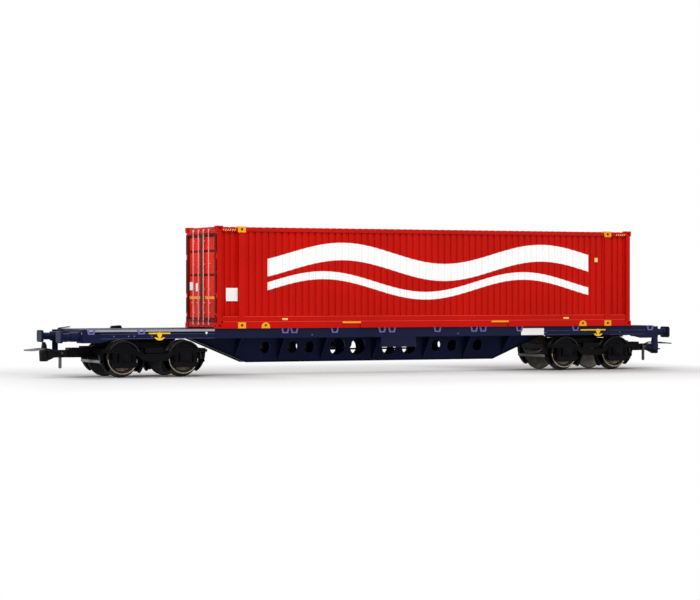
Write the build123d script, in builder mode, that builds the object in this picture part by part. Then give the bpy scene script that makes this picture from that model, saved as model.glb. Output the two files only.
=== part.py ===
from build123d import *
import os

os.makedirs("parts", exist_ok=True)

# All sizes are in millimetres. X runs along the wagon, the viewed side faces -Y, Z is up and is
# zero at the lowest point of the wheel flanges.

# Overall lengths
buffer_face_x = 113.45
headstock_x = 106.3
headstock_thick = 1.6
pivot_x = 81.6
half_wheelbase = 10.345

# Deck and spine: a hollow fish-belly girder with leaning webs
deck_z = 15.6
beam_foot_y = 2.45
beam_wide_y = 5.0
web_thick = 0.6
plate_thick = 0.5
belly_z = 4.5
shallow_z = 12.4
shoulder_z = 12.6
fish_flat_x = 46.5
fish_run = 19.2
beam_end_x = headstock_x - headstock_thick
large_hole_r = 2.8
small_hole_r = 1.9
hole_z = 9.1
large_hole_x = (5.95, 13.5)
small_hole_x = (23.8, 30.05, 40.0)

# Outer side rails
rail_outer_y = 13.0
rail_thick = 0.7
rail_z = 12.4
rail_lip = 2.0
rail_lip_thick = 0.6
rail_end_z = 11.2
rail_end_x = 101.0
rail_step_x = 95.5

# Gusset ribs between spine and rails
rib_thick = 0.5
rib_x = (-50.3, -34.9, -19.3, 0.0, 19.3, 34.9, 50.3)
rib_toe = 0.35
rib_toe_rise = 0.4
rib_knee_y = 9.0
rib_tip_z = 13.0

# Cross bearers
bearer_thick = 0.8
bearer_z = 13.1
bearer_x = (-96.0, -69.5, -58.5, -42.6, -27.1, -9.6, 9.6, 27.1, 42.6, 58.5, 69.5, 96.0)

# Headstocks and buffers
headstock_mid_z = 11.9
headstock_mid_y = 6.4
end_plate_x = 98.0
buffer_y = 10.06
buffer_z = 13.2
buffer_base = 4.0
buffer_base_thick = 0.4
buffer_sleeve_r = 1.55
buffer_sleeve = 3.0
buffer_stem_r = 1.15
buffer_head_w = 5.2
buffer_head_h = 3.9
buffer_head_thick = 0.85
buffer_head_round = 0.5

# Bolsters and pivots
bolster_half = 4.6
core_half = 7.2
core_z = 11.6
boss_r = 2.1
boss_z = 11.4
pin_r = 1.45
pin_z = 9.2

# Fittings on the wagon frame
bracket_top = 2.9
bracket_foot = 2.0
bracket_high = 1.7
bracket_proud = 0.35
bracket_line = 0.42
bracket_x = (-103.6, -86.8, -36.8, -33.6, -18.9, -1.4, 2.3, 19.5, 33.6, 37.1, 51.4, 73.9, 104.7)
spigot_inset = (1.8, 19.6)
spigot_gap = 0.9
spigot_long = 3.6
spigot_wide = 2.0
spigot_high = 0.9
spigot_slope = 0.6
spigot_y = 11.6
cabinet_x = (-1.6, 11.4)
cabinet_y = (9.3, 12.9)
cabinet_z = 9.0
reservoir_r = 2.0
reservoir_x = (-16.6, -2.6)
reservoir_y = 9.6
reservoir_z = 10.2
strap_wide = 1.0
strap_inset = 3.0
brake_rod_r = 0.3
brake_rod_z = 8.2
brake_rod_x = 51.5
rod_hanger_x = (-34.9, 0.0, 34.9)
rod_hanger = 0.8
lever_at = {"left": (-80.7, 3.6, 3.6), "right": (83.0, 7.1, 3.0)}
lever_z = 13.75
lever_hub_r = 0.8
lever_crescent_r = 2.1
lever_crescent_in = 1.55
lever_crescent_up = 0.3
lever_crescent_high = 0.95
lever_bar_r = 0.22
lever_bar_up = 0.45
lever_proud = 0.5
step_y = (9.4, 12.6)
step_thick = 0.5
step_wide = 1.9
step_z = 7.0
step_tread = 2.8
step_drop = 0.3

# Wheels and axles
tread_r = 5.25
flange_r = 6.1
back_y = 7.2
flange_y = 7.95
front_y = 10.0
rim_in_r = 4.25
disc_back_y = 8.1
disc_front_y = 8.9
hub_r = 1.55
hub_front_y = 9.8
axle_r = 0.75
axle_end_y = 11.5
axle_tip_y = 12.0
axle_tip_r = 0.2

# Bogie frames, measured from the pivot or from an axle
side_y = (10.75, 12.0)
side_reach = 7.45
side_low_z = 5.3
side_low_half = 3.9
side_dip_z = 7.5
side_arch_run = 3.0
side_arch_z = 7.8
side_top_z = 9.2
side_end_z = (8.1, 8.9)
side_end_cut = 1.2
side_edge = 0.42
side_sink = 0.25
box_half = 2.0
box_z = (3.6, 9.0)
box_out = 0.45
box_cap_r = 1.45
box_cap_out = 0.3
bore_r = 0.83
bore_y = 12.15
spring_r = 0.8
coil_r = 1.0
coil_high = 0.4
coil_count = 4
spring_off = 3.1
spring_z = (4.1, 8.4)
seat_thick = 0.6
seat_half = 1.2
transom_half = 3.0
transom_z = (7.9, 9.6)
block_reach = 1.6
block_half_y = 6.4
block_top_z = 11.2
socket_r = 1.53
end_beam_thick = 0.75
end_beam_z = (7.7, 9.3)
end_beam_gap = 0.25
pocket_reach = 15.255
pocket_step = 10.655
pocket_half_y = 2.0
pocket_z = (6.5, 9.6)
pocket_step_z = 10.1

# Brake shoes and beams
shoe_gap = 0.4
shoe_end_thick = 0.7
shoe_thick = 1.9
shoe_y = (8.0, 9.7)
shoe_low_deg = -38
shoe_high_deg = 24
hanger_thick = 0.7
brake_beam_r = 0.5
brake_beam_z = 5.2

# Couplers, measured from the pocket's end
neck_half_y = 1.4
neck_z = (6.5, 8.9)
neck_long = 7.0
nose_reach = 7.8
nose_r = 2.1
nose_z = 5.3
hook_reach = (6.8, 8.7)
hook_z = 11.5
hook_half_y = 0.6
brace_reach = 4.2
hinge_reach = 2.4
hinge_z = 7.9
hinge_bore_r = 0.46
hinge_pin_r = 0.38
loop_reach = 13.8
loop_half_y = 3.4
loop_arm_y = 2.0
loop_wire_r = 0.36
loop_tip_z = 8.9
tail_half = 0.5
tail_z = 2.9

# Container
box_mid_x = 17.4
box_half_x = 78.83
box_half_y = 14.0
box_z0 = deck_z
box_high = 33.3
wall = 0.8
top_rail = 1.1
bottom_rail = 2.2
strip_high = 1.6
strip_inset = 0.25
panel_inset = 0.45
pitch = 2.4
flute = 0.45
groove = 0.5
slope = 0.3
casting_x = 2.4
casting_y = 1.9
casting_z = 1.75
casting_proud_x = 0.35
casting_proud_y = 0.15
casting_proud_z = 0.3
corner_post_x = 1.5
slot_x = 1.1
slot_y = 0.7
slot_deep = 0.5
end_bay = (7.6, 8.3)
lift_x = 2.7
lift_z = 1.95
lift_rise = 0.5
lift_proud = 0.3
lift_slot_r = 0.45
lift_post_x = 2.1
end_bay_inset = 0.9
lug_inset = (17.33, 19.83)
lug_r = 1.45
lug_high = 1.95
lug_hole_r = 0.4
pocket_from_mid = (-30.35, 26.05)
pocket_long = 6.7
pocket_high = 1.75
pocket_sink = 0.4
roof_wave = 0.35
floor_thick = 1.0
door_thick = 0.7
door_inset = 0.5
door_gap = 0.25
door_groove = 0.75
door_groove_deep = 0.3
door_groove_share = (0.26, 0.53, 0.81)
door_edge = 0.5
header_high = 2.5
sill_high = 2.7
rod_r = 0.25
rod_y_share = (0.186, 0.603)
rod_guide = 0.8
rod_guide_share = (0.02, 0.26, 0.5, 0.74, 0.98)
handle_share = 0.18
handle_long = 3.4
handle_high = 0.45
hinge_share = (0.06, 0.3, 0.54, 0.78)
hinge_high = 0.9
hinge_wide = 1.3
hinge_out = 0.25
cut_over = 1.0


def label_and_save(builder, name):
    """Name a finished sub-part and write it to its own file."""
    builder.part.label = name
    export_step(builder.part, "parts/" + name + ".step")


# Spine: each half is a hollow section with a leaning web, a belly plate and a top plate. It is
# deep between the bogies, slopes up at both ends of the belly and is shallow over the bogies.
fish_top_x = fish_flat_x + fish_run
belly_slope = (shallow_z - belly_z) / fish_run


def belly_at(place_x):
    """Height of the belly plate's underside at a place along the wagon."""
    rise = (abs(place_x) - fish_flat_x) * belly_slope
    return belly_z + min(max(rise, 0), shallow_z - belly_z)


def spine_outline(place_x):
    """Outline of the near half of the spine, as (across, up) points."""
    low_z = belly_at(place_x)
    return [
        (0, low_z),
        (-beam_foot_y, low_z),
        (-beam_wide_y, shoulder_z),
        (-beam_wide_y, deck_z),
        (0, deck_z),
    ]


def spine_hollow(place_x):
    """Outline of the hollow inside the near half, open at the middle."""
    low_z = belly_at(place_x) + plate_thick
    return [
        (cut_over, low_z),
        (-beam_foot_y + web_thick, low_z),
        (-beam_wide_y + web_thick, shoulder_z + plate_thick),
        (-beam_wide_y + web_thick, deck_z - plate_thick),
        (cut_over, deck_z - plate_thick),
    ]


with BuildPart() as main_beam_near:
    for outline, mode in ((spine_outline, Mode.ADD), (spine_hollow, Mode.SUBTRACT)):
        with BuildSketch(Plane.YZ.offset(-fish_flat_x)):
            with BuildLine():
                Polyline(*outline(0), close=True)
            make_face()
        extrude(amount=2 * fish_flat_x, mode=mode)
        for turn in (-1, 1):
            with BuildSketch(Plane.YZ.offset(turn * fish_flat_x)):
                with BuildLine():
                    Polyline(*outline(fish_flat_x), close=True)
                make_face()
            with BuildSketch(Plane.YZ.offset(turn * fish_top_x)):
                with BuildLine():
                    Polyline(*outline(fish_top_x), close=True)
                make_face()
            loft(ruled=True, mode=mode)
            with BuildSketch(Plane.YZ.offset(turn * fish_top_x)):
                with BuildLine():
                    Polyline(*outline(fish_top_x), close=True)
                make_face()
            extrude(amount=turn * (beam_end_x - fish_top_x), mode=mode)
    with BuildSketch(Plane.XZ):
        for hole_x in large_hole_x:
            with Locations((hole_x, hole_z), (-hole_x, hole_z)):
                Circle(large_hole_r)
        for hole_x in small_hole_x:
            with Locations((hole_x, hole_z), (-hole_x, hole_z)):
                Circle(small_hole_r)
    extrude(amount=beam_wide_y + cut_over, mode=Mode.SUBTRACT)
label_and_save(main_beam_near, "main_beam_near")

with BuildPart() as main_beam_far:
    mirror(main_beam_near.part, about=Plane.XZ)
label_and_save(main_beam_far, "main_beam_far")

# Outer side rails: an upright face that is deeper at both ends, with a lip on top.
rail_right = [(rail_step_x, rail_z), (rail_end_x, rail_end_z), (beam_end_x, rail_end_z)]
rail_left = [(-x, z) for x, z in reversed(rail_right)]
rail_line = rail_left + rail_right + [(beam_end_x, deck_z), (-beam_end_x, deck_z)]

with BuildPart() as side_rail_near:
    with BuildSketch(Plane.XZ.offset(rail_outer_y - rail_thick)):
        with BuildLine():
            Polyline(*rail_line, close=True)
        make_face()
    extrude(amount=rail_thick)
    with Locations((0, -rail_outer_y + rail_thick, deck_z - rail_lip_thick)):
        Box(2 * beam_end_x, rail_lip, rail_lip_thick, align=(Align.CENTER, Align.MIN, Align.MIN))
label_and_save(side_rail_near, "side_rail_near")

with BuildPart() as side_rail_far:
    mirror(side_rail_near.part, about=Plane.XZ)
label_and_save(side_rail_far, "side_rail_far")

# Gusset ribs: upright plates that taper from the rail down to the spine's foot.
rail_face_y = rail_outer_y - rail_thick
bearer_top_z = deck_z - rail_lip_thick

with BuildPart() as gusset_ribs_near:
    for place_x in rib_x:
        belly_low_z = min(belly_at(place_x - rib_thick / 2), belly_at(place_x + rib_thick / 2))
        rib_low_z = belly_at(place_x) + rib_toe_rise
        toe_share = (rib_low_z - belly_low_z) / (shoulder_z - belly_low_z)
        toe_y = beam_foot_y + (beam_wide_y - beam_foot_y) * toe_share
        with BuildSketch(Plane.YZ.offset(place_x)):
            with BuildLine():
                Polyline(
                    (-toe_y, rib_low_z),
                    (-toe_y - rib_toe, rib_low_z),
                    (-rib_knee_y, rail_z),
                    (-rail_face_y, rib_tip_z),
                    (-rail_face_y, bearer_top_z),
                    (-beam_wide_y, bearer_top_z),
                    (-beam_wide_y, shoulder_z),
                    close=True,
                )
            make_face()
        extrude(amount=rib_thick / 2, both=True)
label_and_save(gusset_ribs_near, "gusset_ribs_near")

with BuildPart() as gusset_ribs_far:
    mirror(gusset_ribs_near.part, about=Plane.XZ)
label_and_save(gusset_ribs_far, "gusset_ribs_far")

# Cross bearers: short members from the spine out to the rails.
with BuildPart() as cross_bearers:
    for place_x in bearer_x:
        for turn in (-1, 1):
            with Locations((place_x, turn * (beam_wide_y + rail_face_y) / 2, bearer_z)):
                Box(
                    bearer_thick,
                    rail_face_y - beam_wide_y,
                    bearer_top_z - bearer_z,
                    align=(Align.CENTER, Align.CENTER, Align.MIN),
                )
label_and_save(cross_bearers, "cross_bearers")

# Headstocks: end plates of the frame, with a short deck plate behind and a pad per buffer.
headstock_line = [
    (-rail_outer_y, rail_end_z),
    (-rail_outer_y, deck_z),
    (rail_outer_y, deck_z),
    (rail_outer_y, rail_end_z),
    (buffer_y - buffer_base / 2, rail_end_z),
    (headstock_mid_y, headstock_mid_z),
    (-headstock_mid_y, headstock_mid_z),
    (-buffer_y + buffer_base / 2, rail_end_z),
]

with BuildPart() as headstock_right:
    with BuildSketch(Plane.YZ.offset(headstock_x - headstock_thick)):
        with BuildLine():
            Polyline(*headstock_line, close=True)
        make_face()
    extrude(amount=headstock_thick)
    for turn in (-1, 1):
        with Locations((end_plate_x, turn * beam_wide_y, deck_z)):
            Box(
                headstock_x - headstock_thick - end_plate_x,
                rail_face_y - rail_lip - beam_wide_y,
                rail_lip_thick,
                align=(Align.MIN, Align.MAX if turn < 0 else Align.MIN, Align.MAX),
            )
    for turn in (-1, 1):
        with Locations((headstock_x, turn * buffer_y, buffer_z)):
            Box(
                buffer_base_thick,
                buffer_base,
                buffer_base,
                align=(Align.MIN, Align.CENTER, Align.CENTER),
            )
label_and_save(headstock_right, "headstock_right")

with BuildPart() as headstock_left:
    mirror(headstock_right.part, about=Plane.YZ)
label_and_save(headstock_left, "headstock_left")

# Buffers: a sleeve on the pad, a thinner stem and an oblong head.
sleeve_x = headstock_x + buffer_base_thick

with BuildPart() as buffers_right:
    for turn in (-1, 1):
        with BuildSketch(Plane.YZ.offset(sleeve_x)):
            with Locations((turn * buffer_y, buffer_z)):
                Circle(buffer_sleeve_r)
        extrude(amount=buffer_sleeve)
        with BuildSketch(Plane.YZ.offset(sleeve_x + buffer_sleeve)):
            with Locations((turn * buffer_y, buffer_z)):
                Circle(buffer_stem_r)
        extrude(amount=buffer_face_x - buffer_head_thick - sleeve_x - buffer_sleeve)
        with BuildSketch(Plane.YZ.offset(buffer_face_x - buffer_head_thick)):
            with Locations((turn * buffer_y, buffer_z)):
                RectangleRounded(buffer_head_w, buffer_head_h, buffer_head_round)
        extrude(amount=buffer_head_thick)
label_and_save(buffers_right, "buffers_right")

with BuildPart() as buffers_left:
    mirror(buffers_right.part, about=Plane.YZ)
label_and_save(buffers_left, "buffers_left")

# Bolsters: box members over each bogie with a deeper core that carries the pivot boss and pin.
with BuildPart() as bolster_right:
    for turn in (-1, 1):
        with Locations((pivot_x, turn * (beam_wide_y + rail_face_y) / 2, bearer_z)):
            Box(
                2 * bolster_half,
                rail_face_y - beam_wide_y,
                bearer_top_z - bearer_z,
                align=(Align.CENTER, Align.CENTER, Align.MIN),
            )
    with Locations((pivot_x, 0, core_z)):
        Box(
            2 * core_half,
            2 * beam_wide_y,
            shallow_z - core_z,
            align=(Align.CENTER, Align.CENTER, Align.MIN),
        )
    with BuildSketch(Plane.XY.offset(boss_z)):
        with Locations((pivot_x, 0)):
            Circle(boss_r)
    extrude(amount=core_z - boss_z)
    with BuildSketch(Plane.XY.offset(pin_z)):
        with Locations((pivot_x, 0)):
            Circle(pin_r)
    extrude(amount=boss_z - pin_z)
label_and_save(bolster_right, "bolster_right")

with BuildPart() as bolster_left:
    mirror(bolster_right.part, about=Plane.YZ)
label_and_save(bolster_left, "bolster_left")

# Lock brackets: raised bucket-shaped edges, open at the top, on the rail faces.
with BuildPart() as lock_brackets_near:
    with BuildSketch(Plane.XZ.offset(rail_outer_y)):
        for place_x in bracket_x:
            with BuildLine():
                Polyline(
                    (place_x - bracket_top / 2, deck_z),
                    (place_x + bracket_top / 2, deck_z),
                    (place_x + bracket_foot / 2, deck_z - bracket_high),
                    (place_x - bracket_foot / 2, deck_z - bracket_high),
                    close=True,
                )
            make_face()
        for place_x in bracket_x:
            with BuildLine():
                Polyline(
                    (place_x - bracket_top / 2 + bracket_line, deck_z + cut_over),
                    (place_x + bracket_top / 2 - bracket_line, deck_z + cut_over),
                    (place_x + bracket_foot / 2 - bracket_line, deck_z - bracket_high + bracket_line),
                    (place_x - bracket_foot / 2 + bracket_line, deck_z - bracket_high + bracket_line),
                    close=True,
                )
            make_face(mode=Mode.SUBTRACT)
    extrude(amount=bracket_proud)
label_and_save(lock_brackets_near, "lock_brackets_near")

with BuildPart() as lock_brackets_far:
    mirror(lock_brackets_near.part, about=Plane.XZ)
label_and_save(lock_brackets_far, "lock_brackets_far")

# Folded container spigots lying on the far rail beside the container.
spigot_x = (
    -headstock_x + spigot_inset[0],
    -headstock_x + spigot_inset[1],
    box_mid_x + box_half_x + spigot_gap + spigot_long / 2,
)

with BuildPart() as folded_spigots:
    with BuildSketch(Plane.XZ.offset(-spigot_y)):
        for place_x in spigot_x:
            with BuildLine():
                Polyline(
                    (place_x - spigot_long / 2, deck_z),
                    (place_x + spigot_long / 2, deck_z),
                    (place_x + spigot_long / 2 - spigot_slope, deck_z + spigot_high),
                    (place_x - spigot_long / 2 + spigot_slope, deck_z + spigot_high),
                    close=True,
                )
            make_face()
    extrude(amount=spigot_wide / 2, both=True)
label_and_save(folded_spigots, "folded_spigots")

# Brake cabinet under the near rail.
with BuildPart() as brake_cabinet:
    with Locations(((cabinet_x[0] + cabinet_x[1]) / 2, -(cabinet_y[0] + cabinet_y[1]) / 2, cabinet_z)):
        Box(
            cabinet_x[1] - cabinet_x[0],
            cabinet_y[1] - cabinet_y[0],
            rail_z - cabinet_z,
            align=(Align.CENTER, Align.CENTER, Align.MIN),
        )
label_and_save(brake_cabinet, "brake_cabinet")

# Air reservoir under the far rail, hung in two straps.
with BuildPart() as air_reservoir:
    with BuildSketch(Plane.YZ.offset(reservoir_x[0])):
        with Locations((reservoir_y, reservoir_z)):
            Circle(reservoir_r)
    extrude(amount=reservoir_x[1] - reservoir_x[0])
    fillet(air_reservoir.edges().filter_by(GeomType.CIRCLE), radius=reservoir_r / 4)
    for strap_x in (reservoir_x[0] + strap_inset, reservoir_x[1] - strap_inset):
        with BuildSketch(Plane.YZ.offset(strap_x)):
            with Locations((reservoir_y, reservoir_z)):
                Circle(reservoir_r + strap_wide / 4)
                Rectangle(
                    reservoir_r * 2,
                    bearer_top_z - reservoir_z,
                    align=(Align.CENTER, Align.MIN),
                )
        extrude(amount=strap_wide / 2, both=True)
label_and_save(air_reservoir, "air_reservoir")

# Brake rod inside the spine on hangers from its top plate.
with BuildPart() as brake_rod:
    with BuildSketch(Plane.YZ.offset(-brake_rod_x)):
        with Locations((0, brake_rod_z)):
            Circle(brake_rod_r)
    extrude(amount=2 * brake_rod_x)
    for place_x in rod_hanger_x:
        with Locations((place_x, 0, brake_rod_z)):
            Box(
                rod_hanger,
                rod_hanger,
                deck_z - plate_thick - brake_rod_z,
                align=(Align.CENTER, Align.CENTER, Align.MIN),
            )
label_and_save(brake_rod, "brake_rod")

# Changeover levers: a hub with a crescent below and a long cross bar above.
lever_low_z = lever_z + lever_crescent_up - lever_crescent_r

with BuildPart() as levers_near:
    for place_x, bar_left, bar_right in lever_at.values():
        with BuildSketch(Plane.XZ.offset(rail_outer_y)):
            with Locations((place_x, lever_z + lever_crescent_up)):
                Circle(lever_crescent_r)
                Circle(lever_crescent_in, mode=Mode.SUBTRACT)
            with Locations((place_x, lever_low_z + lever_crescent_high)):
                Rectangle(
                    2 * lever_crescent_r,
                    2 * lever_crescent_r,
                    align=(Align.CENTER, Align.MIN),
                    mode=Mode.SUBTRACT,
                )
            with Locations((place_x, lever_z)):
                Circle(lever_hub_r)
                Rectangle(
                    lever_hub_r,
                    lever_z - lever_low_z - lever_bar_r,
                    align=(Align.CENTER, Align.MAX),
                )
            with Locations((place_x + (bar_right - bar_left) / 2, lever_z + lever_bar_up)):
                Rectangle(bar_left + bar_right, 2 * lever_bar_r)
        extrude(amount=lever_proud)
label_and_save(levers_near, "levers_near")

with BuildPart() as levers_far:
    mirror(levers_near.part, about=Plane.XZ)
label_and_save(levers_far, "levers_far")

# Shunter steps on two diagonal corners: a tall strap on the headstock and a tread.
with BuildPart() as shunter_step_near:
    with Locations((headstock_x, -step_y[1], step_z)):
        Box(
            step_wide,
            step_thick,
            deck_z - step_drop - step_z,
            align=(Align.MIN, Align.CENTER, Align.MIN),
        )
    with Locations((headstock_x, -(step_y[0] + step_y[1]) / 2, step_z)):
        Box(
            step_tread,
            step_y[1] - step_y[0] + step_thick,
            step_thick,
            align=(Align.MIN, Align.CENTER, Align.MIN),
        )
label_and_save(shunter_step_near, "shunter_step_near")

with BuildPart() as shunter_step_far:
    add(shunter_step_near.part.rotate(Axis.Z, 180))
label_and_save(shunter_step_far, "shunter_step_far")

# Wheelsets: a pair of wheels and an axle with tapered ends.
axle_z = flange_r
wheel_line = [
    (axle_r, disc_back_y),
    (hub_r, disc_back_y),
    (rim_in_r, disc_back_y),
    (rim_in_r, back_y),
    (flange_r, back_y),
    (flange_r, (back_y + flange_y) / 2),
    (tread_r, flange_y),
    (tread_r, front_y),
    (rim_in_r, front_y),
    (rim_in_r, disc_front_y),
    (hub_r, disc_front_y),
    (hub_r, hub_front_y),
    (axle_r, hub_front_y),
]
axle_line = [
    (0, -axle_tip_y),
    (axle_tip_r, -axle_tip_y),
    (axle_r, -axle_end_y),
    (axle_r, axle_end_y),
    (axle_tip_r, axle_tip_y),
    (0, axle_tip_y),
]
wheelset_centres = {
    "1": -pivot_x - half_wheelbase,
    "2": -pivot_x + half_wheelbase,
    "3": pivot_x - half_wheelbase,
    "4": pivot_x + half_wheelbase,
}

for number, centre_x in wheelset_centres.items():
    with BuildPart() as wheels:
        with BuildSketch(Plane.XY.offset(axle_z)):
            for turn in (-1, 1):
                with BuildLine():
                    Polyline(*[(centre_x + r, turn * y) for r, y in wheel_line], close=True)
                make_face()
        revolve(axis=Axis((centre_x, 0, axle_z), (0, 1, 0)), revolution_arc=360)
    label_and_save(wheels, "wheels_" + number)
    with BuildPart() as axle:
        with BuildSketch(Plane.XY.offset(axle_z)):
            with BuildLine():
                Polyline(*[(centre_x + r, y) for r, y in axle_line], close=True)
            make_face()
        revolve(axis=Axis((centre_x, 0, axle_z), (0, 1, 0)), revolution_arc=360)
    label_and_save(axle, "axle_" + number)

# Bogie frames: two moulded sides that arch over the axleboxes and dip between them, joined by a
# transom with a centre block, end beams and a coupler pocket.
side_half = half_wheelbase + side_reach
shoe_out = tread_r + shoe_gap + shoe_end_thick
end_beam_in = half_wheelbase + shoe_out + end_beam_gap
end_beam_out = end_beam_in + end_beam_thick
end_beam_mid = (end_beam_in + end_beam_out) / 2
pocket_x = half_wheelbase + pocket_reach
pocket_step_x = half_wheelbase + pocket_step
block_half = half_wheelbase - block_reach
side_half_line = [
    (side_low_half, side_low_z),
    (side_low_half + side_arch_run, side_arch_z),
    (side_half, side_end_z[0]),
    (side_half, side_end_z[1]),
    (side_half - side_end_cut, side_top_z),
    (side_low_half + side_arch_run, side_top_z),
    (side_low_half, side_dip_z),
]
side_line = side_half_line + [(-x, z) for x, z in reversed(side_half_line)]

for end_name, end_sign in (("left", -1), ("right", 1)):
    middle_x = end_sign * pivot_x
    with BuildPart() as bogie_sides:
        for turn in (-1, 1):
            side_mid_y = turn * (side_y[0] + side_y[1]) / 2
            with BuildSketch(Plane.XZ.offset(-side_mid_y)):
                with BuildLine():
                    Polyline(*[(middle_x + x, z) for x, z in side_line], close=True)
                make_face()
                for box_x in (-half_wheelbase, half_wheelbase):
                    with Locations((middle_x + box_x, (box_z[0] + box_z[1]) / 2)):
                        Rectangle(2 * box_half, box_z[1] - box_z[0])
                    with Locations((middle_x + box_x, spring_z[0])):
                        Rectangle(
                            2 * (spring_off + seat_half),
                            seat_thick,
                            align=(Align.CENTER, Align.MIN),
                        )
            extrude(amount=(side_y[1] - side_y[0]) / 2, both=True)
            with BuildSketch(Plane.XZ.offset(-turn * side_y[1])):
                with BuildLine():
                    Polyline(*[(middle_x + x, z) for x, z in side_line], close=True)
                make_face()
                offset(amount=-side_edge, kind=Kind.INTERSECTION, mode=Mode.REPLACE)
            extrude(amount=turn * side_sink, mode=Mode.SUBTRACT)
            for box_x in (-half_wheelbase, half_wheelbase):
                for spring_x in (-spring_off, spring_off):
                    seat_top_z = spring_z[0] + seat_thick
                    with BuildSketch(Plane.XY.offset(seat_top_z)):
                        with Locations((middle_x + box_x + spring_x, side_mid_y)):
                            Circle(spring_r)
                    extrude(amount=spring_z[1] - seat_top_z)
                    coil_rise = (side_arch_z - seat_top_z) / coil_count
                    for coil_number in range(coil_count):
                        with BuildSketch(Plane.XY.offset(seat_top_z + coil_rise * coil_number)):
                            with Locations((middle_x + box_x + spring_x, side_mid_y)):
                                Circle(coil_r)
                        extrude(amount=coil_high)
                with BuildSketch(Plane.XZ.offset(-turn * (side_y[1] - side_sink))):
                    with Locations((middle_x + box_x, axle_z)):
                        Rectangle(2 * box_half, 2 * box_half)
                extrude(amount=-turn * (box_out + side_sink))
                with BuildSketch(Plane.XZ.offset(-turn * (side_y[1] + box_out))):
                    with Locations((middle_x + box_x, axle_z)):
                        Circle(box_cap_r)
                extrude(amount=-turn * box_cap_out)
                with BuildSketch(Plane.XZ.offset(-turn * (side_y[0] - cut_over))):
                    with Locations((middle_x + box_x, axle_z)):
                        Circle(bore_r)
                extrude(amount=-turn * (bore_y - side_y[0] + cut_over), mode=Mode.SUBTRACT)
    label_and_save(bogie_sides, "bogie_sides_" + end_name)

    with BuildPart() as bogie_frame:
        with Locations((middle_x, 0, transom_z[0])):
            Box(
                2 * transom_half,
                2 * side_y[0],
                transom_z[1] - transom_z[0],
                align=(Align.CENTER, Align.CENTER, Align.MIN),
            )
        with Locations((middle_x, 0, transom_z[1])):
            Box(
                2 * block_half,
                2 * block_half_y,
                block_top_z - transom_z[1],
                align=(Align.CENTER, Align.CENTER, Align.MIN),
            )
        with BuildSketch(Plane.XY.offset(transom_z[0] - cut_over)):
            with Locations((middle_x, 0)):
                Circle(socket_r)
        extrude(amount=block_top_z - transom_z[0] + 2 * cut_over, mode=Mode.SUBTRACT)
        for turn in (-1, 1):
            with Locations((middle_x + turn * end_beam_mid, 0, end_beam_z[0])):
                Box(
                    end_beam_thick,
                    2 * side_y[0],
                    end_beam_z[1] - end_beam_z[0],
                    align=(Align.CENTER, Align.CENTER, Align.MIN),
                )
        with BuildSketch(Plane.XZ):
            with BuildLine():
                Polyline(
                    (middle_x + end_sign * transom_half, transom_z[0]),
                    (middle_x + end_sign * transom_half, pocket_step_z),
                    (middle_x + end_sign * pocket_step_x, pocket_step_z),
                    (middle_x + end_sign * pocket_step_x, pocket_z[1]),
                    (middle_x + end_sign * pocket_x, pocket_z[1]),
                    (middle_x + end_sign * pocket_x, pocket_z[0]),
                    (middle_x + end_sign * end_beam_in, pocket_z[0]),
                    (middle_x + end_sign * end_beam_in, transom_z[0]),
                    close=True,
                )
            make_face()
        extrude(amount=pocket_half_y, both=True)
        with BuildSketch(Plane.XZ):
            with BuildLine():
                Polyline(
                    (middle_x - end_sign * transom_half, transom_z[0]),
                    (middle_x - end_sign * transom_half, end_beam_z[1]),
                    (middle_x - end_sign * end_beam_in, end_beam_z[1]),
                    (middle_x - end_sign * end_beam_in, transom_z[0]),
                    close=True,
                )
            make_face()
        extrude(amount=pocket_half_y, both=True)
    label_and_save(bogie_frame, "bogie_frame_" + end_name)

    # Brake claws reach round both sides of each wheel and taper towards the outer beams.
    with BuildPart() as bogie_brakes:
        for box_sign in (-1, 1):
            box_x = middle_x + box_sign * half_wheelbase
            for facing in (-1, 1):
                start_deg = shoe_low_deg if facing > 0 else 180 - shoe_high_deg
                claw_thick = shoe_end_thick if facing == box_sign else shoe_thick
                with BuildSketch(Plane.XZ):
                    with BuildLine():
                        inner_arc = CenterArc(
                            (box_x, axle_z),
                            tread_r + shoe_gap,
                            start_deg,
                            shoe_high_deg - shoe_low_deg,
                        )
                        outer_arc = CenterArc(
                            (box_x, axle_z),
                            tread_r + shoe_gap + claw_thick,
                            start_deg,
                            shoe_high_deg - shoe_low_deg,
                        )
                        Line(inner_arc @ 0, outer_arc @ 0)
                        Line(inner_arc @ 1, outer_arc @ 1)
                    make_face()
                extrude(amount=shoe_y[1], both=True)
        with Locations((middle_x, 0, axle_z)):
            Box(
                2 * (end_beam_out + cut_over),
                2 * shoe_y[0],
                4 * axle_z,
                mode=Mode.SUBTRACT,
            )
        for turn in (-1, 1):
            with BuildSketch(Plane.XZ):
                with Locations((middle_x + turn * end_beam_mid, brake_beam_z)):
                    Circle(brake_beam_r)
            extrude(amount=shoe_y[1], both=True)
            for hang in (-1, 1):
                hang_y = hang * (shoe_y[1] - hanger_thick)
                with Locations((middle_x + turn * end_beam_mid, hang_y, brake_beam_z)):
                    Box(
                        hanger_thick,
                        hanger_thick,
                        end_beam_z[0] - brake_beam_z,
                        align=(Align.CENTER, Align.CENTER, Align.MIN),
                    )
                with Locations((middle_x + turn * (transom_half + hanger_thick / 2), hang_y, axle_z)):
                    Box(
                        hanger_thick,
                        hanger_thick,
                        transom_z[1] - axle_z,
                        align=(Align.CENTER, Align.CENTER, Align.MIN),
                    )
    label_and_save(bogie_brakes, "bogie_brakes_" + end_name)

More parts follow.
